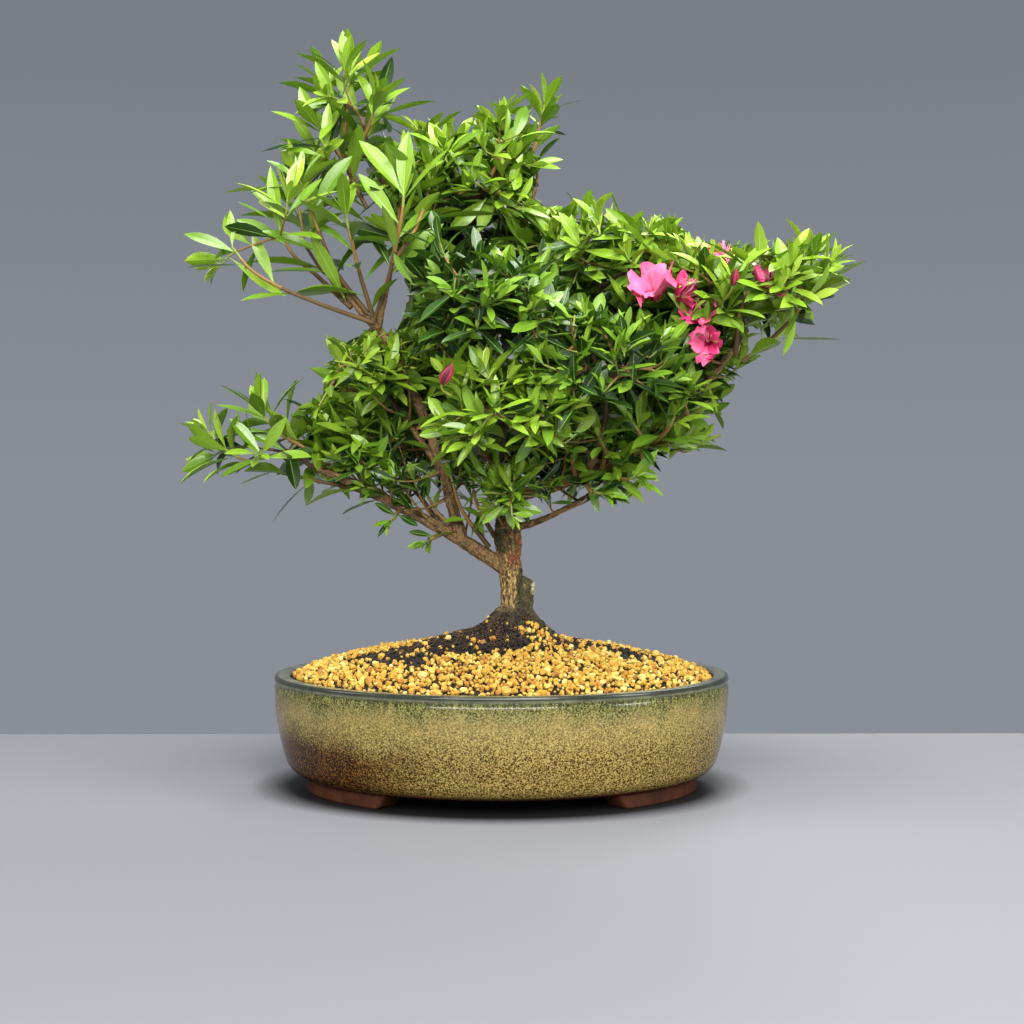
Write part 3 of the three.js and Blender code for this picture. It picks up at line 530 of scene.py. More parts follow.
ball_top, gravel_rim = GROUND - BED_GAP, INNER_RADIUS - BED_GAP
shoulder = (BALL_RADIUS, BALL_SHOULDER)
ball_curve = bend(shoulder, (BALL_TOP_RADIUS + BED_SWELL, ball_top), (BALL_TOP_RADIUS, ball_top), 20)
gravel_curve = bend((gravel_rim, GRAVEL_EDGE), (gravel_rim - BED_SWELL, GRAVEL_EDGE + BED_SWELL), shoulder, 30)
bed_curve = np.concatenate([gravel_curve, ball_curve[1:], [(0, ball_top)]])[::-1]


def from_axis(x, y):
    """How far out a place lies, counted along the pot's long side."""
    return np.hypot(x, y / POT_NARROW)


def from_trunk(x, y):
    return np.hypot(x - FOOT_OF_TRUNK[0], y - FOOT_OF_TRUNK[1])


def bed_height(x, y):
    out = from_axis(x, y)
    dip = DIP_DEPTH * np.exp(-(((out - DIP_OUT) / DIP_WIDTH) ** 2))
    heap = HEAP_HEIGHT * np.exp(-((from_trunk(x, y) / HEAP_WIDTH) ** 4))
    return np.interp(out, bed_curve[:, 0], bed_curve[:, 1]) - dip + heap


def peat_share(x, y):
    """How surely the peat lies open at a place: 1 round the trunk, 0 near the rim, ragged between."""
    ragged = roughness_over(x / 17, y / 15, 3, 11) + 0.6 * roughness_over(x / 6, y / 6, 0, 12)
    out = np.min([np.hypot((x - px) / wide, (y - py) / deep) for px, py, wide, deep in PEAT_PATCHES], axis=0)
    return np.clip(PEAT_FULL - PEAT_FALL * out + PEAT_RAGGED * ragged, 0, 1)


print("bed rises to", round(float(bed_height(*FOOT_OF_TRUNK)), 1), "mm at the trunk")

# %% Bed of peat under the grit
BED_ROWS, BED_ROUND, BED_INSET, BED_SINK, CALM_EDGE = 84, 240, 0.4, 0.8, 4
PEAT_STOPS = [(0.3, (7, 5, 3)), (0.5, (22, 15, 10)), (0.72, (54, 39, 27))]

bed_out = np.linspace(0, INNER_RADIUS - BED_INSET, BED_ROWS)
bed_turn = np.arange(BED_ROUND) * 2 * np.pi / BED_ROUND
bed_x = np.outer(bed_out, np.cos(bed_turn)).ravel()
bed_y = np.outer(bed_out, np.sin(bed_turn)).ravel() * POT_NARROW
bed_bumps = roughness_over(bed_x / 2.6, bed_y / 2.6, 0, 21) * 0.9
bed_bumps += roughness_over(bed_x / 1.2, bed_y / 1.2, 0, 22) * 0.5
bed_bumps *= np.repeat(np.clip((INNER_RADIUS - BED_INSET - bed_out) / CALM_EDGE, 0, 1), BED_ROUND)
bed_points = np.stack([bed_x, bed_y, bed_height(bed_x, bed_y) - BED_SINK + bed_bumps], -1)

peat = Finish("moist_peat", (44, 31, 22), 0.85)
crumbs = peat.noise(900, 5)
peat.colour(peat.ramp(crumbs, *PEAT_STOPS))
peat.relief(crumbs, 1.2, 0.9)
bed = bed_points, skin_of_rings(BED_ROWS, BED_ROUND)
add_piece("soil_bed", bed, [peat.material], ["root_ball", "gravel"])

# %% Stones cut from a ball
STONE_CUTS, CUT_DEPTHS = 13, (0.5, 0.85)


def ball_arrays(round_it, rows):
    work = bmesh.new()
    bmesh.ops.create_uvsphere(work, u_segments=round_it, v_segments=rows, radius=1.0)
    bmesh.ops.triangulate(work, faces=work.faces[:])
    work.verts.ensure_lookup_table()
    points = np.array([vert.co for vert in work.verts])
    faces = np.array([[vert.index for vert in face.verts] for face in work.faces])
    work.free()
    return points, faces


def stone_shapes(count, round_it, rows, rng):
    points, faces = ball_arrays(round_it, rows)
    stones = []
    for _ in range(count):
        cuts = unit(rng.normal(size=(STONE_CUTS, 3)))
        depth = rng.uniform(*CUT_DEPTHS, STONE_CUTS)
        facing = np.maximum(points @ cuts.T, 1e-3)
        stones.append(points * np.minimum(1.0, (depth / facing).min(1))[:, None])
    return stones, faces


def turned(count, rng):
    """Random turns, evenly spread, as matrices."""
    w, x, y, z = unit(rng.normal(size=(count, 4))).T
    rows = [
        [1 - 2 * (y * y + z * z), 2 * (x * y - z * w), 2 * (x * z + y * w)],
        [2 * (x * y + z * w), 1 - 2 * (x * x + z * z), 2 * (y * z - x * w)],
        [2 * (x * z - y * w), 2 * (y * z + x * w), 1 - 2 * (x * x + y * y)],
    ]
    return np.moveaxis(np.array(rows), -1, 0)


def scatter(shapes, faces, places, sizes, rng):
    """Every place gets a stone: points and faces of all, and for each face the number of its stone."""
    kinds = rng.integers(len(shapes), size=len(places))
    turns = turned(len(places), rng)
    each = np.array(shapes)[kinds] * sizes[:, None, :]
    points = np.einsum("nij,nkj->nki", turns, each) + places[:, None, :]
    starts = np.arange(len(places))[:, None, None] * each.shape[1]
    owners = np.repeat(np.arange(len(places)), len(faces))
    return points.reshape(-1, 3), (faces[None] + starts).reshape(-1, 3), owners


# %% Ochre grit
GRIT_SEED, GRIT_COUNT, GRIT_KINDS, GRIT_PIECES = 5, 5600, 8, 6
GRIT_INSET, GRIT_JITTER, GRIT_THINNING, GRIT_FROM_TRUNK = 2.2, 0.7, 0.88, 13
GRIT_RADIUS, GRIT_VARIETY, GRIT_LARGEST = 1.6, 0.28, 2.7
GRIT_COLOURS = [
    (188, 151, 58), (176, 134, 44), (200, 169, 80), (164, 114, 36), (210, 189, 112), (142, 98, 40), (182, 144, 58),
]
GRIT_SHARES = [0.28, 0.22, 0.18, 0.1, 0.09, 0.05, 0.08]

rng = np.random.default_rng(GRIT_SEED)
grit_out = np.sqrt((np.arange(GRIT_COUNT) + 0.5) / GRIT_COUNT) * (INNER_RADIUS - GRIT_INSET)
grit_turn = np.arange(GRIT_COUNT) * GOLDEN_TURN
grit_x = grit_out * np.cos(grit_turn) + rng.normal(0, GRIT_JITTER, GRIT_COUNT)
grit_y = (grit_out * np.sin(grit_turn) + rng.normal(0, GRIT_JITTER, GRIT_COUNT)) * POT_NARROW
bare = GRIT_THINNING * np.clip(peat_share(grit_x, grit_y) * 1.6 - 0.25, 0, 1)
kept = rng.uniform(size=GRIT_COUNT) > bare
kept &= from_trunk(grit_x, grit_y) > GRIT_FROM_TRUNK
kept &= from_axis(grit_x, grit_y) < INNER_RADIUS - GRIT_INSET
grit_x, grit_y = grit_x[kept], grit_y[kept]
count = len(grit_x)
grit_radius = np.minimum(rng.lognormal(np.log(GRIT_RADIUS), GRIT_VARIETY, (count, 1)), GRIT_LARGEST)
grit_size = grit_radius * rng.uniform(0.8, 1.2, (count, 3))
grit_z = bed_height(grit_x, grit_y) + rng.uniform(-0.8, 1.5, count)
grit_places = np.stack([grit_x, grit_y, grit_z], -1)
stones, stone_faces = stone_shapes(GRIT_KINDS, 6, 4, rng)
grit_finishes = plain_set("grit", GRIT_COLOURS, 0.8, (1500, 4), 0.3, 0.5)
grit_tint = rng.choice(len(GRIT_COLOURS), count, p=GRIT_SHARES)
for number in range(GRIT_PIECES):
    mine = np.arange(number, count, GRIT_PIECES)
    *shape, owners = scatter(stones, stone_faces, grit_places[mine], grit_size[mine], rng)
    add_piece(f"grit_stones_{number}", shape, grit_finishes, [], grit_tint[mine][owners], smooth=False)


# %% [markdown]
# The open peat is crumbly, with short fibres and a little moss by the trunk. Crumbs are the same cut stones, in
# dark finishes, and fibres are hair-thin tubes laid on the surface.

# %% Peat crumbs
SOIL_SEED, CRUMB_COUNT, CRUMB_INSET, CRUMB_KINDS = 8, 4200, 4, 5
CRUMB_SPREAD_X, CRUMB_SPREAD_Y, CRUMB_RADIUS, CRUMB_VARIETY = (-2, 34), (-2, 26), 0.95, 0.35
CRUMB_COLOURS = [(15, 10, 7), (25, 17, 12), (40, 28, 19), (10, 7, 5), (76, 56, 38)]
CRUMB_SHARES = [0.33, 0.28, 0.14, 0.2, 0.05]

rng = np.random.default_rng(SOIL_SEED)
crumb_x = rng.normal(*CRUMB_SPREAD_X, CRUMB_COUNT)
crumb_y = rng.normal(*CRUMB_SPREAD_Y, CRUMB_COUNT)
kept = rng.uniform(size=CRUMB_COUNT) < peat_share(crumb_x, crumb_y)
kept &= from_axis(crumb_x, crumb_y) < INNER_RADIUS - CRUMB_INSET
crumb_x, crumb_y = crumb_x[kept], crumb_y[kept]
count = len(crumb_x)
crumb_radius = rng.lognormal(np.log(CRUMB_RADIUS), CRUMB_VARIETY, (count, 1))
crumb_size = crumb_radius * rng.uniform(0.7, 1.3, (count, 3))
crumb_z = bed_height(crumb_x, crumb_y) + rng.uniform(-0.7, 0.5, count)
crumb_places = np.stack([crumb_x, crumb_y, crumb_z], -1)
crumb_finishes = plain_set("peat_crumb", CRUMB_COLOURS, 0.9, (2000, 4), 0.3, 0.7)
lumps, lump_faces = stone_shapes(CRUMB_KINDS, 5, 3, rng)
*shape, owners = scatter(lumps, lump_faces, crumb_places, crumb_size, rng)
crumb_tint = rng.choice(len(CRUMB_COLOURS), count, p=CRUMB_SHARES)
add_piece("peat_crumbs", shape, crumb_finishes, [], crumb_tint[owners])

# %% Root fibres
FIBRE_COUNT, FIBRE_MIDDLE, FIBRE_SPREAD, FIBRE_LENGTHS = 520, (-4, -4), (26, 19), (4, 13)
FIBRE_TAPER = np.array([0.3, 1, 1, 1, 1, 0.3])

fibres = []
for x, y in rng.normal(FIBRE_MIDDLE, FIBRE_SPREAD, (FIBRE_COUNT, 2)):
    if peat_share(np.array([x]), np.array([y]))[0] < 0.5:
        continue
    way = rng.uniform(0, 2 * np.pi)
    length = rng.uniform(*FIBRE_LENGTHS)
    steps = np.linspace(-0.5, 0.5, len(FIBRE_TAPER)) * length
    curl = rng.uniform(-0.05, 0.05) * steps**2
    fibre_x = x + steps * np.cos(way) - curl * np.sin(way)
    fibre_y = y + steps * np.sin(way) + curl * np.cos(way)
    arch = rng.uniform(0, 1.6) * np.cos(steps / length * np.pi)
    line = np.stack([fibre_x, fibre_y, bed_height(fibre_x, fibre_y) + 0.5 + arch], -1)
    fibres.append(tube(line, rng.uniform(0.1, 0.24) * FIBRE_TAPER, 4))
fibre_finish = plain("root_fibre", (72, 51, 35), 0.8, (3000, 2), 0.1, 0.5)
add_piece("root_fibres", join_arrays(fibres), [fibre_finish])

# %% Moss by the trunk
MOSS_COUNT, MOSS_MIDDLE, MOSS_OUT, MOSS_LEAN = 420, 9, (9, 21), 4
MOSS_GREENS = [(74, 84, 34), (104, 112, 46), (50, 56, 28)]

moss_turn = rng.uniform(0, 2 * np.pi, MOSS_COUNT)
moss_out = rng.uniform(*MOSS_OUT, MOSS_COUNT) + MOSS_LEAN * np.cos(moss_turn - 0.3)
moss_x, moss_y = MOSS_MIDDLE + moss_out * np.cos(moss_turn), moss_out * np.sin(moss_turn) * 0.9
moss_z = bed_height(moss_x, moss_y) + rng.uniform(-0.2, 0.6, MOSS_COUNT)
moss_sizes = rng.uniform(0.25, 0.8, (MOSS_COUNT, 1)) * rng.uniform(0.6, 1.4, (MOSS_COUNT, 3))
moss_finishes = plain_set("moss", MOSS_GREENS, 0.95, (3000, 3), 0.3, 0.8)
*shape, owners = scatter(lumps, lump_faces, np.stack([moss_x, moss_y, moss_z], -1), moss_sizes, rng)
moss_tint = rng.integers(len(MOSS_GREENS), size=MOSS_COUNT)
add_piece("moss_tufts", shape, moss_finishes, [], moss_tint[owners])

# %% [markdown]
# ## Wood
# The trunk leans a little, swells where the first boughs part from it, has a sawn stub on its right, and stands on
# short ridges of root that dip into the peat. Boughs leave it, and each other, as tapering bent limbs that end
# where they enter a mass of leaves. These are the runs of the measured solids: the same feet, hearts and bows,
# from the same few numbers.

# %% Runs of the limbs
TRUNK_FOOT, TRUNK_TIP = np.array([*FOOT_OF_TRUNK, GROUND]), np.array([-1.0, 3, 204])
TRUNK_BOW, TRUNK_RADII, FLARE, FLARE_SHARE = (-0.5, 0, 0), (7.4, 3.3), 6.0, 0.05
KNUCKLE, KNUCKLE_SHARE, KNUCKLE_SPREAD = 1.9, 0.42, 0.08
BOUGH_TAPER, ENTER_DEPTH, LEAST_BOUGH_RADIUS = 0.52, 0.86, 1.26

# name: (limb it grows on, share along that limb, heart of its mass, reach of its mass, bow, radius at its foot)
BRANCHES = {
    "lower_left": ("trunk", 0.28, (-140, 28, 190), (48, 42, 31), (0, 0, 3), 4.1),
    "upper_left": ("lower_left", 0.19, (-127, -15, 302), (45, 41, 42), (13, 0, 22), 3.3),
    "right_outer": ("trunk", 0.62, (138, -42, 268), (48, 46, 33), (12, 0, -22), 3.7),
    "crown_top": ("trunk", 0.97, (-17, 10, 329), (42, 48, 43), (3, 0, 0), 3.0),
    "left_inner": ("lower_left", 0.24, (-66, 32, 184), (39, 45, 33), (0, 2, 0), 2.1),
    "mid_left": ("upper_left", 0.14, (-74, 2, 227), (36, 42, 30), (0, 2, 3), 1.9),
    "left_front": ("upper_left", 0.56, (-54, -45, 312), (27, 37, 41), (2, 0, 0), 1.9),
    "apex": ("crown_top", 0.36, (-86, 15, 369), (36, 42, 50), (-2, 0, -4), 2.0),
    "top_shoot": ("crown_top", 0.5, (22, 10, 362), (20, 32, 34), (6, 0, -3), 1.7),
    "shoulder": ("trunk", 0.86, (59, 0, 291), (48, 50, 38), (6, 0, -6), 2.6),
    "right_lower": ("right_outer", 0.38, (108, 6, 218), (35, 46, 36), (0, 4, 0), 2.2),
    "right_back": ("shoulder", 0.4, (121, 42, 274), (43, 44, 33), (0, 6, -4), 1.7),
    "centre_upper": ("crown_top", 0.14, (-6, -60, 256), (42, 48, 36), (0, -4, -4), 2.2),
    "centre_right": ("right_outer", 0.26, (59, -60, 227), (40, 48, 35), (0, -6, -4), 2.3),
    "centre_lower": ("trunk", 0.7, (-1, -60, 200), (42, 48, 32), (0, -4, -3), 2.3),
    "lower_right": ("trunk", 0.47, (73, 12, 181), (44, 48, 29), (0, 0, -8), 2.4),
    "back_upper": ("crown_top", 0.26, (-4, 64, 300), (50, 45, 45), (0, 4, -5), 2.1),
    "back_right": ("trunk", 0.78, (76, 62, 246), (50, 47, 45), (0, 4, -6), 2.3),
    "back_left": ("trunk", 0.74, (-63, 62, 246), (47, 47, 45), (0, 4, -6), 2.3),
    "back_lower": ("trunk", 0.6, (8, 62, 191), (50, 47, 38), (0, 4, -4), 2.3),
    "trunk_sprig": ("trunk", 0.5, (8, -34, 152), (24, 27, 21), (0, 0, -2), 0),
}


class Limb:
    def __init__(self, start, goal, bow, end, foot_radius, tip_radius):
        self.start, self.goal, self.end = start, goal, end
        self.handle = (start + goal) / 2 + 2 * np.array(bow, float)
        self.foot_radius, self.tip_radius = foot_radius, tip_radius

    def at(self, share):
        share = np.asarray(share, float)[..., None]
        return (1 - share) ** 2 * self.start + 2 * share * (1 - share) * self.handle + share**2 * self.goal

    def way(self, share):
        return unit(self.at(share + 0.005) - self.at(share - 0.005))

    def radius(self, share):
        return np.interp(share, [0, self.end], [self.foot_radius, self.tip_radius])


hearts = np.array([row[2] for row in BRANCHES.values()], float)
reaches = np.array([row[3] for row in BRANCHES.values()], float)
limbs = {"trunk": Limb(TRUNK_FOOT, TRUNK_TIP, TRUNK_BOW, 1.0, *TRUNK_RADII)}
for name, (on, at, heart, reach, bow, thick) in BRANCHES.items():
    if not thick:
        continue
    tip_radius = max(thick * BOUGH_TAPER, LEAST_BOUGH_RADIUS)
    limb = Limb(limbs[on].at(at), np.array(heart, float), bow, 1.0, thick, tip_radius)
    shares = np.arange(1.0, 0, -0.01)
    depths = np.linalg.norm((limb.at(shares) - heart) / np.array(reach, float), axis=1)
    limb.end = shares[np.argmax(depths >= ENTER_DEPTH)]
    limbs[name] = limb
longest = max(np.linalg.norm(limb.goal - limb.start) * limb.end for limb in limbs.values())
print(len(limbs), "limbs; the longest runs", round(longest), "mm")

# %% [markdown]
# Real limbs melt into each other at a fork. Tubes pushed into one another would show a hard seam, so the tubes
# are only a rough: a voxel remesh fuses them to one skin, a few rounds of smoothing take its steps away, and
# then the bark is pressed in along each limb, deep on the trunk and fine on the boughs.

# %% Rough tubes
LIMB_STEP, LIMB_SIDES, TRUNK_ROUND, STUB_ROUND, SHUT_RADIUS = 2.5, 12, 48, 24, 0.05
SWAY_MOST, SWAY_LENGTH, SWAY_WAVE = 1.6, 70, 26
SWELL_SHARE, SWELL_WAVE, COLLAR_SHARE, COLLAR_REACH = 0.1, 9, 0.45, 2.2
KNOB_SHARE, KNOB_RISE, KNOB_ROUND = 0.09, 118 / 11, 1.4
STUB_FOOT, STUB_TOP, STUB_SHIFT = (10.5, -2, 88), (14.4, -3.2, 116), np.array([0, 0.2, 1.0, 2.2, 3.2])
STUB_RADII = np.array([0.05, 6.4, 6.2, 6.0, 5.7, 5.4, 5.2, 5.1, 5.2, 5.5, 5.4, 4.4, 2.6, 0.05])
# the turn about the trunk, the reach and the thickness of each ridge of root
ROOTS = [(-2.75, 21, 3.4), (-1.9, 17, 3.0), (-0.75, 22, 3.2), (0.35, 20, 3.0), (1.5, 19, 3.0), (2.5, 20, 3.2)]
ROOT_STEPS, ROOT_BEND = np.array([0.25, 0.5, 0.75, 1.0]), 0.012
ROOT_RISE, ROOT_TAPER = np.array([2.6, 1.2, 0.0, -2.0]), np.array([1.0, 0.9, 0.7, 0.3])


def limb_rough(name, limb):
    length = np.linalg.norm(limb.at(limb.end) - limb.start)
    shares = np.linspace(0, limb.end, max(8, int(length / LIMB_STEP)))
    along, own = shares * length, len(name)
    sway = np.sin(np.pi * shares / limb.end)[:, None] * min(SWAY_MOST, length / SWAY_LENGTH)
    drift = [roughness_over(along / SWAY_WAVE, own, 0, 30 + axis) for axis in range(3)]
    radii = limb.radius(shares) * (1 + SWELL_SHARE * roughness_over(along / SWELL_WAVE, 0, own, 33))
    radii += COLLAR_SHARE * limb.foot_radius * np.exp(-along / (COLLAR_REACH * limb.foot_radius))
    radii[0] = radii[-1] = SHUT_RADIUS
    return tube(limb.at(shares) + sway * np.stack(drift, -1), radii, LIMB_SIDES)


def trunk_rough():
    shares = np.concatenate([np.linspace(0, 0.2, 40), np.linspace(0.2, 1, 80)[1:]])
    turn = np.arange(TRUNK_ROUND) * 2 * np.pi / TRUNK_ROUND
    knuckle = KNUCKLE * np.exp(-(((shares - KNUCKLE_SHARE) / KNUCKLE_SPREAD) ** 2))
    taper = np.interp(shares, [0, 1], TRUNK_RADII) + knuckle
    flare = FLARE * np.exp(-shares / FLARE_SHARE)
    lobes = 1 + 0.3 * np.cos(5 * turn) + 0.12 * np.cos(3 * turn + 1)
    radius = taper[:, None] + flare[:, None] * lobes
    skin = [shares[:, None] * KNOB_RISE, np.cos(turn) * KNOB_ROUND, np.sin(turn) * KNOB_ROUND]
    knobs = roughness_over(*(part.ravel() for part in np.broadcast_arrays(*skin)), 35)
    radius = radius * (1 + KNOB_SHARE * knobs.reshape(radius.shape))
    centres = limbs["trunk"].at(shares)
    x, y, z = centres.T[:, :, None]
    rings = np.stack([x + radius * np.cos(turn), y + radius * np.sin(turn), z + 0 * radius], -1)
    foot, tip = (centres[end] + (rings[end] - centres[end]) * 0.001 for end in (0, -1))
    return np.concatenate([foot, rings.reshape(-1, 3), tip]), skin_of_rings(len(shares) + 2, TRUNK_ROUND)


stub_line = np.linspace(STUB_FOOT, STUB_TOP, len(STUB_RADII))
stub_line[-len(STUB_SHIFT):, 0] -= STUB_SHIFT
rough_parts = [trunk_rough(), tube(stub_line, STUB_RADII, STUB_ROUND)]
for turn, far, thick in ROOTS:
    out = ROOT_STEPS * far
    root_x = FOOT_OF_TRUNK[0] + out * np.cos(turn + ROOT_BEND * out)
    root_y = out * np.sin(turn + ROOT_BEND * out)
    root_z = bed_height(root_x, root_y) + ROOT_RISE
    rough_parts.append(tube(np.stack([root_x, root_y, root_z], -1), thick * ROOT_TAPER, LIMB_SIDES))
rough_parts += [limb_rough(name, limb) for name, limb in limbs.items() if name != "trunk"]
print(len(rough_parts), "rough tubes")

# %% Fused wood
VOXEL_MM = 0.75

rough = bpy.data.objects.new("rough_wood", make_mesh("rough_wood", *join_arrays(rough_parts)))
bpy.context.scene.collection.objects.link(rough)
fuse = rough.modifiers.new("fuse", "REMESH")
fuse.mode = "VOXEL"
fuse.voxel_size = VOXEL_MM * MM
bpy.context.view_layer.update()
wood_mesh = bpy.data.meshes.new_from_object(rough.evaluated_get(bpy.context.evaluated_depsgraph_get()))
bpy.data.objects.remove(rough)
wood_mesh.name = "bark"
print("fused wood has", len(wood_mesh.vertices), "points")

# %% Smoothing without shrinking
SMOOTH_PULLS, SMOOTH_ROUNDS = (0.5, -0.52), 6


def smooth_points(mesh, points, rounds):
    edges = np.zeros(len(mesh.edges) * 2, np.int32)
    mesh.edges.foreach_get("vertices", edges)
    first, second = edges.reshape(-1, 2).T
    size = len(points)
    count = np.bincount(first, minlength=size) + np.bincount(second, minlength=size)
    for pull in SMOOTH_PULLS * rounds:
        total = np.zeros_like(points)
        for axis in range(3):
            total[:, axis] = np.bincount(first, points[second, axis], size)
            total[:, axis] += np.bincount(second, points[first, axis], size)
        points = points + pull * (total / np.maximum(count, 1)[:, None] - points)
    return points


wood = np.zeros(len(wood_mesh.vertices) * 3)
wood_mesh.vertices.foreach_get("co", wood)
wood = smooth_points(wood_mesh, wood.reshape(-1, 3) / MM, SMOOTH_ROUNDS)
print("smoothed in", SMOOTH_ROUNDS, "rounds")

# %% [markdown]
# To run the fissures along each limb, every point of the skin looks up the nearest place on a limb's run. What is
# left of its offset, and its distance along, are then the two directions that the roughness is stretched in.

# %% Nearest run of each point
RUN_STEP, RUN_APART = 2, 37

run_points, run_ways, run_along, run_radius = [], [], [], []
for number, limb in enumerate(limbs.values()):
    length = np.linalg.norm(limb.at(limb.end) - limb.start)
    shares = np.linspace(0, limb.end, int(length / RUN_STEP) + 2)
    run_points.append(limb.at(shares))
    run_ways.append(limb.way(shares))
    run_along.append(shares * length / limb.end + RUN_APART * number)
    run_radius.append(limb.radius(shares))
run_points, run_ways = np.concatenate(run_points), np.concatenate(run_ways)
run_along, run_radius = np.concatenate(run_along), np.concatenate(run_radius)
tree = KDTree(len(run_points))
for number, point in enumerate(run_points):
    tree.insert(point, number)
tree.balance()
near = np.array([tree.find(point)[1] for point in wood])
offset = wood - run_points[near]
way = run_ways[near]
ahead = (offset * way).sum(1)
aside = offset - way * ahead[:, None]
along = run_along[near] + ahead
print("limbs have", len(run_points), "places to look up")

# %% Bark relief
STOUT_FROM, STOUT_SPAN, ROUGH_FROM, ROUGH_SPAN = 3.0, 2.5, 118, 14
SEAM_X, SEAM_WIDTH, SEAM_TOP, SEAM_FOOT, SEAM_FADE = 8.9, 0.8, 116, 90, 5

x, y, z = wood.T
on_trunk = np.clip((run_radius[near] - STOUT_FROM) / STOUT_SPAN, 0, 1)
grain = aside * (0.42 - 0.1 * on_trunk)[:, None] + way * (along * 0.055)[:, None]
furrow = 1 - np.abs(roughness_at(grain * 1.5, 41)) * 2
furrow = np.clip(furrow + 0.5 * roughness_at(grain * 3.5, 42) - 0.25, 0, 1)
seam = np.exp(-(((x - SEAM_X) / SEAM_WIDTH) ** 2)) * (z < SEAM_TOP)
seam = seam * np.clip((z - SEAM_FOOT) / SEAM_FADE, 0, 1) * on_trunk
furrow = np.maximum(furrow, seam)
flakes = roughness_at(wood / 2.2, 43) * 0.6 + roughness_at(wood / 1.1, 44) * 0.4
rough_top = on_trunk * np.clip((z - ROUGH_FROM) / ROUGH_SPAN, 0, 1)
press = -furrow * (0.24 + 0.52 * on_trunk) + flakes * (0.22 + 0.18 * on_trunk + 1.0 * rough_top)
wood_mesh.vertices.foreach_set("co", (wood * MM).ravel())
wood_mesh.update()
outward = np.zeros(len(wood) * 3)
wood_mesh.vertices.foreach_get("normal", outward)
wood += outward.reshape(-1, 3) * press[:, None]
wood_mesh.vertices.foreach_set("co", (wood * MM).ravel())
wood_mesh.update()
print("bark is pressed in by up to", round(float(-press.min()), 2), "mm")

# %% [markdown]
# The bark is tan on the trunk, with dark furrows and a bloom of moss towards the fork and on the stub, and a
# redder brown on the young boughs. At the rough top of the trunk the left side, away from the light, is painted
# darker as thicker moss, a painted shade, and the right side gets a rusty brown. The mesh carries these as
# numbers at its points, where they were worked out with the relief, and the finish mixes the colours by them.

# %% Numbers that the bark carries
TRUNK_LEAST, STUB_SIDE, STUB_CAP, MOSS_FOOT, SOIL_LINE = 0.02, 8.4, 121, 101, 7
SAWN_MIDDLE, SAWN_REACH = (18.6, -5, 108.5), (2.4, 3.2, 4)

x, y, z = wood.T
trunk_only = on_trunk > TRUNK_LEAST
stub = np.clip((x - STUB_SIDE) / 1.2, 0, 1) * np.clip((STUB_CAP - z) / 2, 0, 1) * trunk_only
sawn = np.clip(1.6 - np.linalg.norm((wood - SAWN_MIDDLE) / SAWN_REACH, axis=1), 0, 1) * trunk_only
patches = roughness_at(wood / 6.5, 51) * 0.7 + roughness_at(wood / 2.5, 52) * 0.5
# painted shade: at the rough top of the trunk the left side, away from the light, gets more dark moss and the
# right side rust
painted_side_shade = np.clip((3.0 - x) / 6, -0.5, 0.6)
moss_and_shade_wood = np.maximum(rough_top * (0.6 + painted_side_shade), stub * 1.25)
moss = np.clip(moss_and_shade_wood + 0.6 * patches - 0.28, 0, 1) * trunk_only
moss = np.maximum(moss, np.clip((MOSS_FOOT - z) / 9 + 0.4 * patches, 0, 1))
rust = np.clip(rough_top * (0.25 - painted_side_shade - 1.2 * patches), 0, 0.9)
soiled = np.clip((bed_height(x, y) + SOIL_LINE - z) / 6 + 0.5 * patches, 0, 0.95)
layers = {"furrow": furrow, "moss": moss, "trunk": on_trunk, "sawn": sawn, "rust": rust, "soiled": soiled}
for label, values in layers.items():
    layer = wood_mesh.attributes.new(label, "FLOAT", "POINT")
    layer.data.foreach_set("value", values.astype(np.float32))
print("bark carries", ", ".join(layers))

# %% Bark finish
TAN_BARK = [(0.36, (30, 21, 10)), (0.46, (104, 82, 46)), (0.56, (158, 129, 74)), (0.68, (212, 185, 122))]
BROWN_BARK = [(0.34, (66, 46, 27)), (0.66, (184, 148, 102))]
MOSSY_BARK = [(0.34, (12, 13, 5)), (0.5, (42, 43, 20)), (0.68, (94, 90, 48))]
RUSTY_BARK = [(0.35, (70, 32, 16)), (0.65, (178, 104, 62))]
SAWN_WOOD = [(0.35, (112, 108, 84)), (0.65, (196, 192, 160))]
SOILED_BARK = [(0.35, (14, 10, 6)), (0.65, (62, 48, 30))]
TAN_CLOUD, BROWN_CLOUD, BROWN_SPOT, FURROW_DARK = (98, 76, 46), (132, 101, 67), (54, 38, 24), (30, 21, 14)

bark = Finish("bark", (117, 88, 60), 0.9)
fine = bark.noise(1100, 4)
coarse = bark.noise(160, 3)
cracks = bark.noise(900, 4, (1, 1, 0.5), 0.6)
spots = bark.span(bark.noise(330, 3), 0.52, 0.66, 0, 0.7)
trunk_tan = bark.blend(bark.span(coarse, 0.4, 0.7, 0, 0.4), bark.ramp(cracks, *TAN_BARK), TAN_CLOUD)
bough_brown = bark.blend(coarse, bark.ramp(fine, *BROWN_BARK), BROWN_CLOUD)
bough_brown = bark.blend(spots, bough_brown, BROWN_SPOT)
bark_colour = bark.blend(bark.carried("trunk"), bough_brown, trunk_tan)
# the moss layer holds real moss and the painted shade on the left of the trunk's rough top
for share, over in [
    (bark.span(bark.carried("furrow"), 0.25, 0.95, 0, 0.9), FURROW_DARK),
    (bark.span(bark.carried("moss"), 0.1, 0.7, 0, 0.92), bark.ramp(fine, *MOSSY_BARK)),
    (bark.carried("rust"), bark.ramp(fine, *RUSTY_BARK)),
    (bark.span(bark.carried("sawn"), 0.3, 0.7, 0, 0.9), bark.ramp(fine, *SAWN_WOOD)),
    (bark.carried("soiled"), bark.ramp(fine, *SOILED_BARK)),
]:
    bark_colour = bark.blend(share, bark_colour, over)
bark.colour(bark_colour)
bark.relief(bark.combine(fine, cracks), 0.7, 0.9)
wood_nodes = ["trunk"] + [name + "_bough" for name in limbs if name != "trunk"]
add_piece("bark", wood_mesh, [bark.material], wood_nodes)

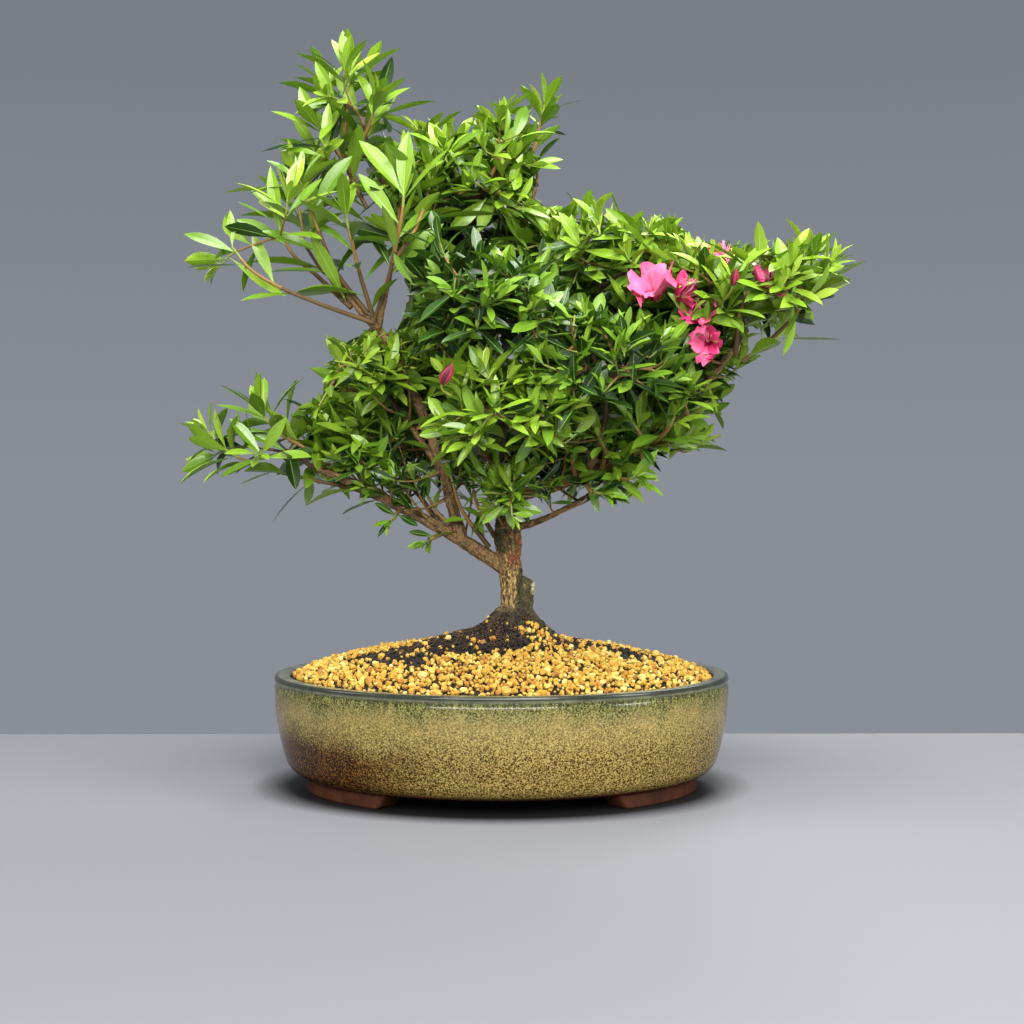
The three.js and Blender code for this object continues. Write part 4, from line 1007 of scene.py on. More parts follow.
# %% [markdown]
# ## Twigs
# Each mass keeps to an egg-shaped space about its heart. Shoot tips are spread through that space by the same
# rule as in the measured solids, only more of them, and a stem that leaves the bough's end is split again and
# again between them until each tip has its twig. A tip that would lie in a neighbour's space or on a limb is
# passed over. Where two masses meet, tips may also fill the seam, so that the crown closes as one.
#
# The crown has windows to the sky: between the long shoots at the left, above the lower left bough, and in the
# notches of its outline. The spread rule knows nothing of them, so what would fall in a window, as seen from the
# front, is left off: the tip of a shoot here, and later a leaf by its middle or its point.

# %% Windows
EYE_DISTANCE, EYE_LEVEL = 897.0, 178.3
# middle and reach of each window in the front view, across and up
WINDOWS = np.array([
    (-62, 268, 13, 17), (-130, 240, 36, 17), (-108, 222, 10, 14), (27, 330, 11, 12), (-46, 384, 13, 19),
    (-135, 364, 17, 30), (-87, 254, 13, 9), (42, 353, 8, 14), (82, 325, 21, 11), (134, 310, 36, 12),
    (192, 250, 19, 27), (146, 195, 24, 40), (108, 166, 24, 20), (50, 148, 30, 9),
], float)


def in_window(points):
    nearer = EYE_DISTANCE / (EYE_DISTANCE + points[:, 1])
    seen = np.stack([points[:, 0] * nearer, EYE_LEVEL + (points[:, 2] - EYE_LEVEL) * nearer], -1)
    return (np.linalg.norm((seen[:, None] - WINDOWS[:, :2]) / WINDOWS[:, 2:], axis=2) < 1).any(1)


print(len(WINDOWS), "windows")

# %% Shoot tips
SHOOT_INSET, LEAST_INNER, SHOOT_TRIES = 10.0, 0.4, 14
LOWEST_RISE, RISE_SPAN, SHELL_INNER = -0.65, 1.6, 0.4
SPREAD_STEPS = np.array([0.8191725134, 0.6710436067, 0.5497004779])
SEED_STEPS = np.array([0.31, 0.48, 0.65])
LIMB_GAP, BETWEEN_REACH, SEAM_SLACK, FAR_OFF = 1.2, 1.12, 0.13, 9
# square millimetres of a mass's space for each shoot
FULL_AREA = 92
OPEN_AREAS = {
    "lower_left": 440, "upper_left": 1500, "apex": 620, "left_front": 700, "top_shoot": 700, "trunk_sprig": 110,
}


def depths_of(points):
    """How deep each point lies in each mass's space: 0 at the heart, 1 at the limit of its reach."""
    return np.linalg.norm((points[:, None, :] - hearts) / reaches, axis=2)


def clear_of_wood(points, room):
    found = [tree.find(point) for point in points]
    return np.array([far - run_radius[number] for _, number, far in found]) > room


def shoot_tips(number, name):
    reach = reaches[number]
    area = reach[0] * reach[1] + reach[1] * reach[2] + reach[2] * reach[0]
    wanted = round(area / OPEN_AREAS.get(name, FULL_AREA))
    inner = np.maximum(reach - SHOOT_INSET, reach * LEAST_INNER)
    turn = np.arange(1, wanted * SHOOT_TRIES)[:, None]
    a, b, c = ((0.5 + (number + 1) * SEED_STEPS + turn * SPREAD_STEPS) % 1).T
    rise = LOWEST_RISE + RISE_SPAN * a
    level = np.sqrt(1 - rise * rise)
    shell = SHELL_INNER + (1 - SHELL_INNER) * np.sqrt(c)
    spread = np.stack([level * np.cos(2 * np.pi * b), level * np.sin(2 * np.pi * b), rise], -1)
    tips = hearts[number] + BETWEEN_REACH * reach * shell[:, None] * spread
    depths = depths_of(tips)
    own = depths[:, number].copy()
    depths[:, number] = FAR_OFF
    others = depths.min(1)
    within = np.linalg.norm((tips - hearts[number]) / inner, axis=1) <= 1
    between = others < BETWEEN_REACH + SEAM_SLACK
    free = (within | between) & (others > own) & clear_of_wood(tips, LIMB_GAP) & ~in_window(tips)
    return tips[free][:wanted]


tips_of = {name: shoot_tips(number, name) for number, name in enumerate(BRANCHES)}
print(sum(len(tips) for tips in tips_of.values()), "shoot tips")

# %% Branching
FORK_BACK, FORK_SHARE, STEM_LEAD, STEM_SINK, SPRIG_LEAD = 0.2, 0.45, 5.0, 3, 0.6


def part_tips(tips):
    axis = np.argmax(np.ptp(tips, axis=0))
    order = np.argsort(tips[:, axis], kind="stable")
    half = (len(tips) + 1) // 2
    return [tips[order[:half]], tips[order[half:]]]


def branch_out(path, tips, twigs):
    """A path is a list of (place, how many tips lie beyond it)."""
    if len(tips) == 1:
        twigs.append(path + [(tips[0], 1)])
        return
    fork, before = path[-1][0], path[-2][0]
    for number, group in enumerate(part_tips(tips)):
        start = path if number == 0 else [(fork + (before - fork) * FORK_BACK, len(group))]
        if len(group) == 1:
            branch_out(start if number == 0 else start + [(fork, 1)], group, twigs)
            continue
        onward = fork + (group.mean(0) - fork) * FORK_SHARE
        branch_out(start + [(onward, len(group))], group, twigs)


def stem_of(name):
    on, at, heart = BRANCHES[name][:3]
    if name in limbs:
        limb = limbs[name]
        way = limb.way(limb.end)
        foot = limb.at(limb.end) - way * STEM_SINK
        return foot, foot + way * (STEM_LEAD + STEM_SINK)
    foot = limbs[on].at(at)
    return foot, foot + (np.array(heart) - foot) * SPRIG_LEAD


def twigs_of(name, tips):
    foot, lead = stem_of(name)
    first = lead + (tips.mean(0) - lead) * FORK_SHARE
    twigs = []
    branch_out([(foot, len(tips)), (lead, len(tips)), (first, len(tips))], tips, twigs)
    return twigs


# %% [markdown]
# A twig made of straight stretches looks like wire. Each is drawn as a smooth curve through its knots, turned up
# a little at the end, as shoots turn to the light, and thinned towards the tip by the number of tips it feeds.

# %% Twigs as smooth tubes
TWIG_TIP_RADIUS, TWIG_POWER, TWIG_STEP, TWIG_SEED = 0.55, 0.4, 4.0, 200
STEM_STOUTER, SPRIG_RADIUS, END_STOUTER = 1.1, 1.6, 1.1
ONWARD, OUTWARD, UPWARD, CHANCE = 0.5, 0.4, 0.45, 0.2
LONG_END, END_TURN = 16, 8


def smooth_path(knots, sizes):
    knots, sizes = np.array(knots), np.array(sizes)
    far = np.concatenate([[2 * knots[0] - knots[1]], knots, [2 * knots[-1] - knots[-2]]])
    points, radii = [], []
    for i in range(len(knots) - 1):
        a, b, c, d = far[i : i + 4]
        count = max(2, int(np.linalg.norm(c - b) / TWIG_STEP) + 1)
        t = np.linspace(0, 1, count, endpoint=False)[:, None]
        curve = 2 * b + (c - a) * t + (2 * a - 5 * b + 4 * c - d) * t**2 + (3 * b - a - 3 * c + d) * t**3
        points.append(0.5 * curve)
        radii.append(sizes[i] + (sizes[i + 1] - sizes[i]) * t[:, 0])
    return np.concatenate(points + [knots[-1:]]), np.concatenate(radii + [sizes[-1:]])


def dress_twigs(name, number):
    """Smooth runs of a mass's twigs, with the heading of each shoot at its tip."""
    limit = limbs[name].tip_radius * STEM_STOUTER if name in limbs else SPRIG_RADIUS
    rng = np.random.default_rng(TWIG_SEED + number)
    runs = []
    for twig in twigs_of(name, tips_of[name]):
        tip, last = twig[-1][0], twig[-2][0]
        outward = unit((tip - hearts[number]) / reaches[number])
        heading = ONWARD * unit(tip - last) + OUTWARD * outward + UPWARD * UP + CHANCE * rng.normal(size=3)
        heading = unit(heading)
        knots = [place for place, _ in twig[:-1]]
        sizes = [min(TWIG_TIP_RADIUS * beyond**TWIG_POWER, limit) for _, beyond in twig[:-1]]
        if np.linalg.norm(tip - last) > LONG_END:
            knots.append(tip - heading * END_TURN)
            sizes.append(TWIG_TIP_RADIUS * END_STOUTER)
        points, radii = smooth_path(knots + [tip], sizes + [TWIG_TIP_RADIUS])
        runs.append((points, radii, heading))
    return runs


runs_of = {name: dress_twigs(name, number) for number, name in enumerate(BRANCHES)}
print(sum(len(runs) for runs in runs_of.values()), "twigs")

# %% [markdown]
# The open masses at the left and top show single long shoots. These few were measured one by one from the
# picture, from the place on the limb where each begins to its tip, and are drawn by the same smooth curve.

# %% Long shoots
LONG_RADII = (1.45, 0.75)
LONG_SHOOTS = {
    "upper_left": [
        [(-70, -8, 254), (-91, -12, 261), (-115, -20, 270), (-133, -28, 280), (-143, -30, 292)],
        [(-73, -8, 259), (-89, -14, 280), (-96, -18, 296), (-102, -20, 312), (-109, -22, 331)],
        [(-82, -9, 262), (-101, 0, 280), (-117, 8, 295), (-124, 12, 314)],
        [(-85, -9, 266), (-100, 10, 289), (-103, 20, 307), (-102, 24, 323)],
    ],
    "left_front": [
        [(-69, -9, 256), (-60, -25, 278), (-55, -38, 295), (-52, -44, 308), (-51, -46, 317)],
        [(-70, -9, 257), (-76, -18, 278), (-80, -26, 296), (-83, -30, 309)],
        [(-58, -30, 284), (-48, -34, 297), (-41, -30, 314), (-38, -26, 328)],
    ],
    "apex": [
        [(-75, 12, 319), (-88, 14, 348), (-86, 16, 374), (-85, 16, 393)],
        [(-86, 14, 352), (-92, 24, 374), (-97, 30, 389)],
        [(-85, 14, 346), (-75, 6, 360), (-69, 2, 374)],
        [(-81, 13, 335), (-92, 8, 351), (-100, 2, 361)],
        [(-79, 13, 329), (-94, 22, 341), (-103, 28, 352)],
    ],
    "top_shoot": [[(10, 10, 337), (18, 10, 352), (22, 9, 367), (24, 8, 376)]],
    "lower_left": [
        [(-69, 22, 157), (-84, 24, 163), (-107, 26, 168), (-132, 24, 174), (-149, 20, 181), (-156, 18, 186)],
        [(-97, 24, 176), (-111, 22, 186), (-126, 18, 195), (-135, 14, 207)],
        [(-89, 25, 172), (-97, 32, 186), (-102, 36, 202)],
        [(-114, 24, 187), (-123, 32, 197), (-134, 40, 201)],
    ],
    "right_outer": [
        [(127, -40, 231), (140, -42, 241), (157, -44, 260), (161, -44, 282)],
        [(123, -42, 235), (123, -56, 255), (130, -60, 271), (134, -58, 281)],
    ],
    "right_lower": [
        [(54, -14, 173), (55, -34, 183), (51, -46, 191)],
        [(70, -20, 181), (73, -42, 191), (68, -52, 199)],
        [(82, -25, 189), (87, -46, 195), (90, -54, 202)],
        [(100, -30, 202), (95, -50, 209), (97, -58, 215)],
        [(59, -14, 173), (64, -30, 169), (71, -38, 170)],
    ],
    "centre_right": [
        [(40, -10, 167), (38, -32, 177), (34, -44, 185)],
        [(46, -10, 169), (47, -26, 163), (54, -34, 161)],
    ],
    "left_inner": [
        [(-7, 2, 131), (-22, -6, 152), (-28, -10, 172)],
        [(-4, 2, 137), (-13, -12, 154), (-17, -20, 171)],
        [(-17, 4, 134), (-34, 8, 148), (-43, 10, 162)],
        [(-57, 14, 152), (-60, 7, 147), (-62, 4, 145)],
        [(-34, 8, 138), (-40, 3, 135), (-42, 0, 133)],
        [(-60, 14, 153), (-67, 8, 162), (-75, 2, 164)],
    ],
}
long_runs_of = {}
for name, shoots in LONG_SHOOTS.items():
    long_runs_of[name] = []
    for shoot in shoots:
        points, radii = smooth_path(np.array(shoot, float), np.linspace(*LONG_RADII, len(shoot)))
        long_runs_of[name].append((points, radii, unit(points[-1] - points[-3])))
print(sum(len(runs) for runs in long_runs_of.values()), "long shoots")

# %% [markdown]
# Old boughs also bear short shoots of their own, thin and with small leaves, which make the thicket in the middle
# of the crown. One rule sets them along each limb, at a set spacing, out from the wood and up to the light.

# %% Fine shoots
FINE_SEED, FINE_GAP, FINE_LENGTHS, FINE_RADII, FINE_DEPTH = 61, 6.5, (20, 46), [0.85, 0.6, 0.4], 1.15
# from which share of each limb to which
FINE_STRETCHES = {
    "trunk": (0.44, 0.98), "lower_left": (0.06, 0.6), "upper_left": (0.03, 0.27), "right_outer": (0.1, 0.82),
    "crown_top": (0.02, 0.9), "shoulder": (0.1, 0.9), "lower_right": (0.25, 0.95), "centre_upper": (0.3, 0.95),
    "centre_right": (0.25, 0.95), "centre_lower": (0.3, 0.95), "right_lower": (0.3, 0.95),
    "left_inner": (0.2, 0.95), "mid_left": (0.3, 0.95), "back_upper": (0.3, 0.95), "back_right": (0.3, 0.95),
    "back_left": (0.3, 0.95), "back_lower": (0.3, 0.95),
}

rng = np.random.default_rng(FINE_SEED)
fine_runs = []
for name, (first, last) in FINE_STRETCHES.items():
    limb = limbs[name]
    length = np.linalg.norm(limb.goal - limb.start)
    for share in np.arange(first, min(last, limb.end), FINE_GAP / length):
        way, foot = limb.way(share), limb.at(share)
        out = rng.normal(size=3) + 0.7 * UP
        out = unit(out - way * (out @ way) * 0.6)
        far = rng.uniform(*FINE_LENGTHS)
        bowed = foot + out * far * 0.55 + way * rng.uniform(-2, 6)
        tip = foot + out * far + UP * rng.uniform(2, 10) + way * rng.uniform(0, 10)
        points, radii = smooth_path([foot, bowed, tip], FINE_RADII)
        if depths_of(tip[None]).min() < FINE_DEPTH and not in_window(tip[None])[0]:
            fine_runs.append((points, radii, unit(tip - bowed)))
print(len(fine_runs), "fine shoots")

# %% Finishes and tubes of the twigs
TWIG_SIDES, YOUNG_RADIUS, YOUNG_END, GREEN_END = 6, 0.85, 34, 9
YOUNG, OLD_SHADED, GREEN, TAN = range(4)

# the old bark of the thick twigs inside the masses is darker than the tan of the long shoots outside, partly as
# older wood and partly as painted shade
twig_finishes = [
    plain("young_shoot", (142, 110, 58), 0.6, (1800, 3), 0.15, 0.5),
    plain("old_shaded_twig", (76, 55, 38), 0.8, (1500, 4), 0.25, 0.7),
    plain("green_shoot", (132, 140, 62), 0.5, (1800, 3), 0.1, 0.4),
    plain("tan_shoot", (98, 75, 40), 0.75, (1500, 4), 0.2, 0.6),
]
for name, runs in [*runs_of.items(), ("fine_shoot", fine_runs)]:
    long_runs = long_runs_of.get(name, [])
    barks = [OLD_SHADED] * len(runs) + [TAN] * len(long_runs)
    parts, dealt = [], []
    for (points, radii, _), bark_number in zip(runs + long_runs, barks):
        parts.append(tube(points, radii, TWIG_SIDES))
        to_tip = np.cumsum(np.linalg.norm(np.diff(points, axis=0), axis=1)[::-1])[::-1]
        young = (radii[:-1] < YOUNG_RADIUS) | (to_tip < YOUNG_END)
        tint = np.where(to_tip < GREEN_END, GREEN, np.where(young, YOUNG, bark_number))
        dealt.append(np.repeat(tint, TWIG_SIDES))
    add_piece(name + "_twigs", join_arrays(parts), twig_finishes, [], np.concatenate(dealt))


# %% [markdown]
# ## Leaves
# An azalea's leaves sit in rosettes at the shoot tips: the oldest lowest and flattest, the youngest upright in
# the middle. Each is a lance-shaped sheet, folded along a pale rib and bent back towards its point. All leaves of
# a mass are made at once: every station along the blade is one step of arithmetic over all of them. The rib is a
# strip of faces of its own, so that it keeps its place and colour however the model is handed on.

# %% Leaf sheets
LEAF_STATIONS = np.array([0, 0.1, 0.25, 0.42, 0.6, 0.76, 0.9, 1.0])
LEAF_BREADTHS = np.array([0.08, 0.17, 0.5, 0.86, 1.0, 0.88, 0.48, 0.02])
RIB_HALF, RIB_TAPER = 0.3, 0.8


def leaf_sheets(roots, alongs, ups, lengths, widths, bends, folds):
    besides = np.cross(alongs, ups)
    half = LEAF_BREADTHS * widths[:, None] / 2
    rib = np.minimum(RIB_HALF * (1 - RIB_TAPER * LEAF_STATIONS), half * 0.5)
    sideways = np.stack([-half, -rib, rib, half], -1)
    forward = (lengths[:, None] * LEAF_STATIONS)[:, :, None]
    sag = -(bends * lengths)[:, None] * LEAF_STATIONS**2
    lift = sag[:, :, None] + folds[:, None, None] * (np.abs(sideways) - rib[:, :, None])
    points = roots[:, None, None, :] + alongs[:, None, None, :] * forward[..., None]
    points = points + ups[:, None, None, :] * lift[..., None] + besides[:, None, None, :] * sideways[..., None]
    stations = len(LEAF_STATIONS)
    rows = np.arange(stations - 1)[:, None] * 4 + np.arange(3)[None, :]
    quads = np.stack([rows, rows + 1, rows + 5, rows + 4], -1).reshape(-1, 4)
    starts = np.arange(len(roots))[:, None, None] * stations * 4
    return points.reshape(-1, 3), (quads[None] + starts).reshape(-1, 4)


# %% [markdown]
# A spray's place decides its greens, as painted light and shade: at the outside and top they are a pale
# yellow-green, partly the real colour of new growth and partly painted light, the leaves below a full green, and
# those inside and lowest a dark painted shade. The greens are plain colours dealt out leaf by leaf with some
# chance, and a fine relief gives the blades their leathery gloss.

# %% Leaf finishes
# steps of painted light and shade, dealt by a spray's place: shade inside, young at the top and outside; the paler
# steps also carry the yellow-green of new growth
LEAF_GREENS = {
    "shade": [(30, 58, 13), (46, 78, 19)],
    "full": [(91, 130, 27), (105, 144, 34), (117, 152, 42)],
    "fresh": [(121, 159, 36), (130, 166, 42)],
    "young": [(136, 169, 42), (147, 175, 53)],
}
RIB_GREENS = {"rib_pale": (162, 186, 98), "rib_green": (124, 160, 70)}

leaf_finishes, green_numbers = [], []
for light_and_age, colours in LEAF_GREENS.items():
    green_numbers.append(list(range(len(leaf_finishes), len(leaf_finishes) + len(colours))))
    leaf_finishes += plain_set(f"leaf_{light_and_age}", colours, 0.3, (900, 3), 0.18, 0.35, Specular_IOR_Level=0.6)
RIB_NUMBER = len(leaf_finishes)
leaf_finishes += [plain(label, colour, 0.45, (1500, 2), 0.1, 0.3) for label, colour in RIB_GREENS.items()]
print(len(leaf_finishes), "leaf finishes")

# %% Rosettes and single leaves
LEAF_SPREAD, ROSETTE_STEP, BUD_LEAVES, BUD_TURN = (0.8, 1.15), 1.6, 3, 2.1


def leaf_row(root, heading, turn, lean, length, light_and_age, rng):
    """A leaf's root, its directions along and up, its length and its step of painted light and age."""
    across = perpendicular(heading)
    out = across * np.cos(turn) + np.cross(heading, across) * np.sin(turn)
    along = heading * np.cos(lean) + out * np.sin(lean)
    along = unit(along + UP * 0.5 * max(0, -along[2]))
    up = heading * np.sin(lean) - out * np.cos(lean)
    lit = UP - along * (along @ UP)
    up = unit(0.55 * up + 0.6 * lit * (1 if rng.uniform() < 0.92 else -0.3))
    up = unit(up - along * (up @ along))
    return root, along, up, length, light_and_age


def rosette(run, length, light, rng, leans, count):
    """The leaves round a shoot's tip, from the lowest and flattest to the youngest in the bud."""
    points, _, heading = run
    start = rng.uniform(0, 2 * np.pi)
    rows = []
    for k in range(count):
        share = k / (count - 1)
        lean = math.radians(leans[0] + (leans[1] - leans[0]) * share + rng.normal(0, 8))
        size = length * (1 - 0.3 * share**2) * rng.uniform(*LEAF_SPREAD)
        light_and_age = light + 0.6 * share + rng.normal(0, 0.35)
        root = points[-1] - heading * ROSETTE_STEP * (count - 1 - k)
        rows.append(leaf_row(root, heading, start + k * GOLDEN_TURN, lean, size, light_and_age, rng))
    for k in range(BUD_LEAVES):
        lean = math.radians(rng.uniform(8, 24))
        size = length * rng.uniform(0.35, 0.62)
        rows.append(leaf_row(points[-1], heading, start + 1 + k * BUD_TURN, lean, size, light + 1.1, rng))
    return rows


def leaves_below(run, first, last, gap, length, light, rng):
    """Single leaves along a shoot, from one distance behind its tip to another."""
    back = run[0][::-1]
    behind = np.concatenate([[0], np.cumsum(np.linalg.norm(np.diff(back, axis=0), axis=1))])
    turn = rng.uniform(0, 2 * np.pi)
    rows = []
    for far in np.arange(first, min(last, behind[-1]), gap):
        at = max(1, np.searchsorted(behind, far))
        turn += GOLDEN_TURN
        lean = math.radians(rng.uniform(44, 70))
        size = length * rng.uniform(*LEAF_SPREAD)
        light_and_age = light + rng.normal(0, 0.3)
        rows.append(leaf_row(back[at], unit(back[at - 1] - back[at]), turn, lean, size, light_and_age, rng))
    return rows


# %% [markdown]
# On four of the long shoots each leaf shows against the wall, so these were measured one by one like the shoots:
# where the leaf leaves its shoot and where it ends in the front view, how far its point lies behind its root, how
# squarely it faces the viewer, and its green as a step of painted light and age, from shade at 0 to young at 3.

# %% Single leaves
SINGLE_SHOOTS = {"upper_left": 3, "left_front": 1}
FACING_EYE, SINGLE_CHANCE = np.array([0, -0.8, 0.6]), 0.12
# x and z of the root, x and z of the point, how far behind, how squarely it faces the viewer, step of painted
# light and age
SINGLE_LEAVES = {
    "upper_left": [
        (-143, 289, -166, 302, -6, 1.0, 1), (-144, 292, -144, 312, 0, 0.7, 2), (-136, 282, -169, 283, 8, 0.0, 1),
        (-111, 267, -140, 266, -5, 0.8, 1), (-121, 276, -135, 302, 9, 0.9, 1), (-110, 328, -126, 342, 5, 0.5, 1),
        (-109, 327, -110, 341, -4, 0.8, 1), (-108, 327, -107, 346, 4, 0.6, 1), (-106, 330, -96, 343, -6, 0.6, 1),
        (-109, 323, -137, 330, 7, 0.2, 1), (-100, 313, -82, 342, -8, 1.0, 1), (-95, 289, -127, 305, -9, 1.0, 1),
        (-91, 279, -127, 285, 6, 0.2, 1), (-124, 314, -140, 335, 4, 0.9, 1), (-125, 313, -128, 331, 10, 0.8, 1),
        (-117, 299, -145, 315, -4, 0.9, 1), (-123, 312, -116, 322, 8, 0.6, 2),
    ],
    "left_front": [
        (-58, 277, -32, 305, -8, 1.0, 1), (-55, 302, -73, 328, -9, 1.0, 1), (-54, 321, -74, 348, 6, 0.6, 1),
        (-51, 315, -50, 350, -3, 0.2, 2), (-49, 315, -30, 342, -6, 0.3, 1), (-53, 295, -38, 314, 9, 0.3, 1),
        (-60, 282, -71, 305, 10, 0.8, 0), (-53, 315, -48, 343, 9, 0.7, 1),
    ],
}


def single_leaf(runs, leaf, rng):
    x, z, tip_x, tip_z, behind, facing, light_and_age = leaf
    points = np.concatenate([run[0] for run in runs])
    root = points[np.argmin(np.hypot(points[:, 0] - x, points[:, 2] - z))]
    reach = np.array([tip_x - root[0], behind, tip_z - root[2]])
    along = unit(reach)
    up = facing * FACING_EYE + (1 - facing) * UP + rng.normal(0, SINGLE_CHANCE, 3)
    return root, along, unit(up - along * (up @ along)), np.linalg.norm(reach), light_and_age + 0.5


print(sum(len(leaves) for leaves in SINGLE_LEAVES.values()), "measured leaves")


# %% [markdown]
# A leaf is left off where it would fall in a window, reach past the space of every mass, or touch a limb. The
# lowest and innermost sprays get the darkest greens as painted shade, and so does the hollow under the top of the
# crown; each mass also gets its own share of painted light.

# %% Leaves of each mass
LEAF_LENGTH, LEAF_WIDTH_SHARE, LEAF_SEED, LEAF_ROOM, LEAF_TRIMS = 25.0, 0.265, 100, 0.8, (0.85, 0.8)
RULE_LIMITS, LONG_LIMIT, FINE_LIMIT, SINGLE_LIMIT = (0.96, 1.2), 2.0, 1.3, 3.0
LONG_SCALES = {"left_inner": 0.62, "right_lower": 0.85, "centre_right": 0.85}
# painted light added to the long shoots' greens
LONG_LIGHT, LONG_BELOW, LONG_GAP = 0.3, (12, 3.8), 8.0
# leans of a rosette's lowest and youngest leaves, and where the leaves below it begin, end and how far apart
RULE_LEANS, LONG_LEANS, RULE_BELOW = (78, 28), (62, 20), (10, 32, 7)
# painted light added to each mass's greens, or painted shade where it is below zero
OPEN_LIGHT = {
    "lower_left": 0.6, "upper_left": 1.6, "left_front": 0.9, "apex": 0.9, "top_shoot": 0.8, "right_outer": 0.8,
    "shoulder": 1.2, "right_lower": 0.8, "crown_top": 0.9, "mid_left": 1.9, "left_inner": 0.8,
    "centre_lower": 1.0, "lower_right": 1.2, "centre_right": -0.4, "centre_upper": -0.45, "trunk_sprig": 1.0,
}
LEAF_SCALES = {
    "lower_left": 1.3, "upper_left": 1.6, "left_front": 1.45, "apex": 1.35, "top_shoot": 1.05, "crown_top": 1.1,
    "shoulder": 1.1, "right_outer": 1.2, "right_back": 1.1, "trunk_sprig": 0.75,
}
# middle and reach of the hollow in the front view whose leaves get painted shade
HOLLOW = np.array([-26, 290, 32, 19], float)
CROWN_REACH = (150, 100, 130)
crown_middle = hearts.mean(0)


# painted light: a spray's greens are paler further out, facing up and higher, and painted shade darkens the hollow
# under the top
def light_at(tip, heading):
    outer = np.linalg.norm((tip - crown_middle) / CROWN_REACH)
    light = min(1.7, 0.2 + 1.3 * (outer - 0.35) + 0.6 * heading[2] + 0.25 * (tip[2] - 230) / 100)
    under_top = np.linalg.norm((tip[[0, 2]] - HOLLOW[:2]) / HOLLOW[2:]) < 1
    return light - 1.6 * under_top


def hang_leaves(name, rows, limits, stands_for, rng):
    """All leaves of a mass as one piece; the limit of each is how deep in the nearest mass's space it may end."""
    roots, alongs, ups, lengths, lights_and_ages = (np.array(column) for column in zip(*rows))
    for trim in LEAF_TRIMS:
        too_far = depths_of(roots + alongs * lengths[:, None]).min(1) > limits
        lengths = np.where(too_far, lengths * trim, lengths)
    middles = roots + alongs * lengths[:, None] * 0.5
    clear = clear_of_wood(middles, LEAF_ROOM) & (depths_of(middles).min(1) < limits)
    by_rule = limits < LONG_LIMIT
    clear &= ~(by_rule & (in_window(middles) | in_window(roots + alongs * lengths[:, None] * 0.85)))
    roots, alongs, ups, lengths, lights_and_ages = (column[clear] for column in (roots, alongs, ups, lengths, lights_and_ages))
    slim = np.where(limits[clear] > LONG_LIMIT, 0.9, np.minimum(1, np.sqrt(LEAF_LENGTH / lengths)))
    widths = lengths * LEAF_WIDTH_SHARE * slim * rng.uniform(0.85, 1.18, len(lengths))
    bends = rng.normal(0.12, 0.08, len(lengths))
    folds = np.clip(rng.normal(0.38, 0.15, len(lengths)), 0.05, 0.9)
    sheets = leaf_sheets(roots, alongs, ups, lengths, widths, bends, folds)
    steps = np.clip(np.floor(lights_and_ages).astype(int), 0, len(green_numbers) - 1)
    greens = np.array([rng.choice(green_numbers[step]) for step in steps])
    # leaves in painted shade get the green rib, the paler ones the pale rib
    ribs = RIB_NUMBER + (steps < 2)
    strips = np.stack([greens, ribs, greens], -1)
    dealt = np.repeat(strips[:, None, :], len(LEAF_STATIONS) - 1, axis=1).ravel()
    add_piece(name + "_leaves", sheets, leaf_finishes, stands_for, dealt)
    return len(lengths)


leaf_total = 0
for number, (name, runs) in enumerate(runs_of.items()):
    rng = np.random.default_rng(LEAF_SEED + number)
    length = LEAF_LENGTH * LEAF_SCALES.get(name, 1.0)
    rows, limits = [], []
    for run in runs:
        light = light_at(run[0][-1], run[2]) + OPEN_LIGHT.get(name, 0)
        rows += rosette(run, length, light, rng, RULE_LEANS, rng.integers(5, 8))
        # the leaves below a rosette get painted shade
        rows += leaves_below(run, *RULE_BELOW, length * 0.9, light - 1.1, rng)
        limits += [rng.uniform(*RULE_LIMITS)] * (len(rows) - len(limits))
    for run in long_runs_of.get(name, [])[SINGLE_SHOOTS.get(name, 0):]:
        light = light_at(run[0][-1], run[2]) + LONG_LIGHT
        long_length = length * LONG_SCALES.get(name, 1.0)
        rows += rosette(run, long_length, light, rng, LONG_LEANS, 6)
        last = LONG_BELOW[1] * len(run[0])
        rows += leaves_below(run, LONG_BELOW[0], last, LONG_GAP, long_length * 1.05, light, rng)
        limits += [LONG_LIMIT] * (len(rows) - len(limits))
    rows += [single_leaf(long_runs_of[name], leaf, rng) for leaf in SINGLE_LEAVES.get(name, [])]
    limits += [SINGLE_LIMIT] * (len(rows) - len(limits))
    leaf_total += hang_leaves(name, rows, np.array(limits), [name + "_foliage"], rng)


# %% Leaves of the fine shoots
FINE_LEAF_SEED, FINE_LEAF, FINE_LEAF_BELOW = 62, 17, 15
FINE_LEANS, FINE_BELOW = (72, 30), (6, 26, 5.5)

rng = np.random.default_rng(FINE_LEAF_SEED)
rows = []
for run in fine_runs:
    # the fine shoots inside the crown get a little painted shade, and the leaves below their tips more
    light = light_at(run[0][-1], run[2]) - 0.3
    rows += rosette(run, FINE_LEAF, light, rng, FINE_LEANS, 5)
    rows += leaves_below(run, *FINE_BELOW, FINE_LEAF_BELOW, light - 0.4, rng)
leaf_total += hang_leaves("fine_shoot", rows, np.full(len(rows), FINE_LIMIT), [], rng)
print(leaf_total, "leaves")

# %% [markdown]
# ## Blossom
# A few pink blossoms are open at the right, half sunk among the leaves. Each has five narrow-footed petals that
# leave a funnel, flare, and crumple. A petal is a small grid of points: its breadth, flare and crumples are a few
# plain waves with some chance in each, so no two petals match.

# %% Petals
PETAL_LENGTH, PETAL_ROWS, PETAL_COLUMNS, PETAL_SPREAD = 16.0, 9, 9, (0.85, 1.15)


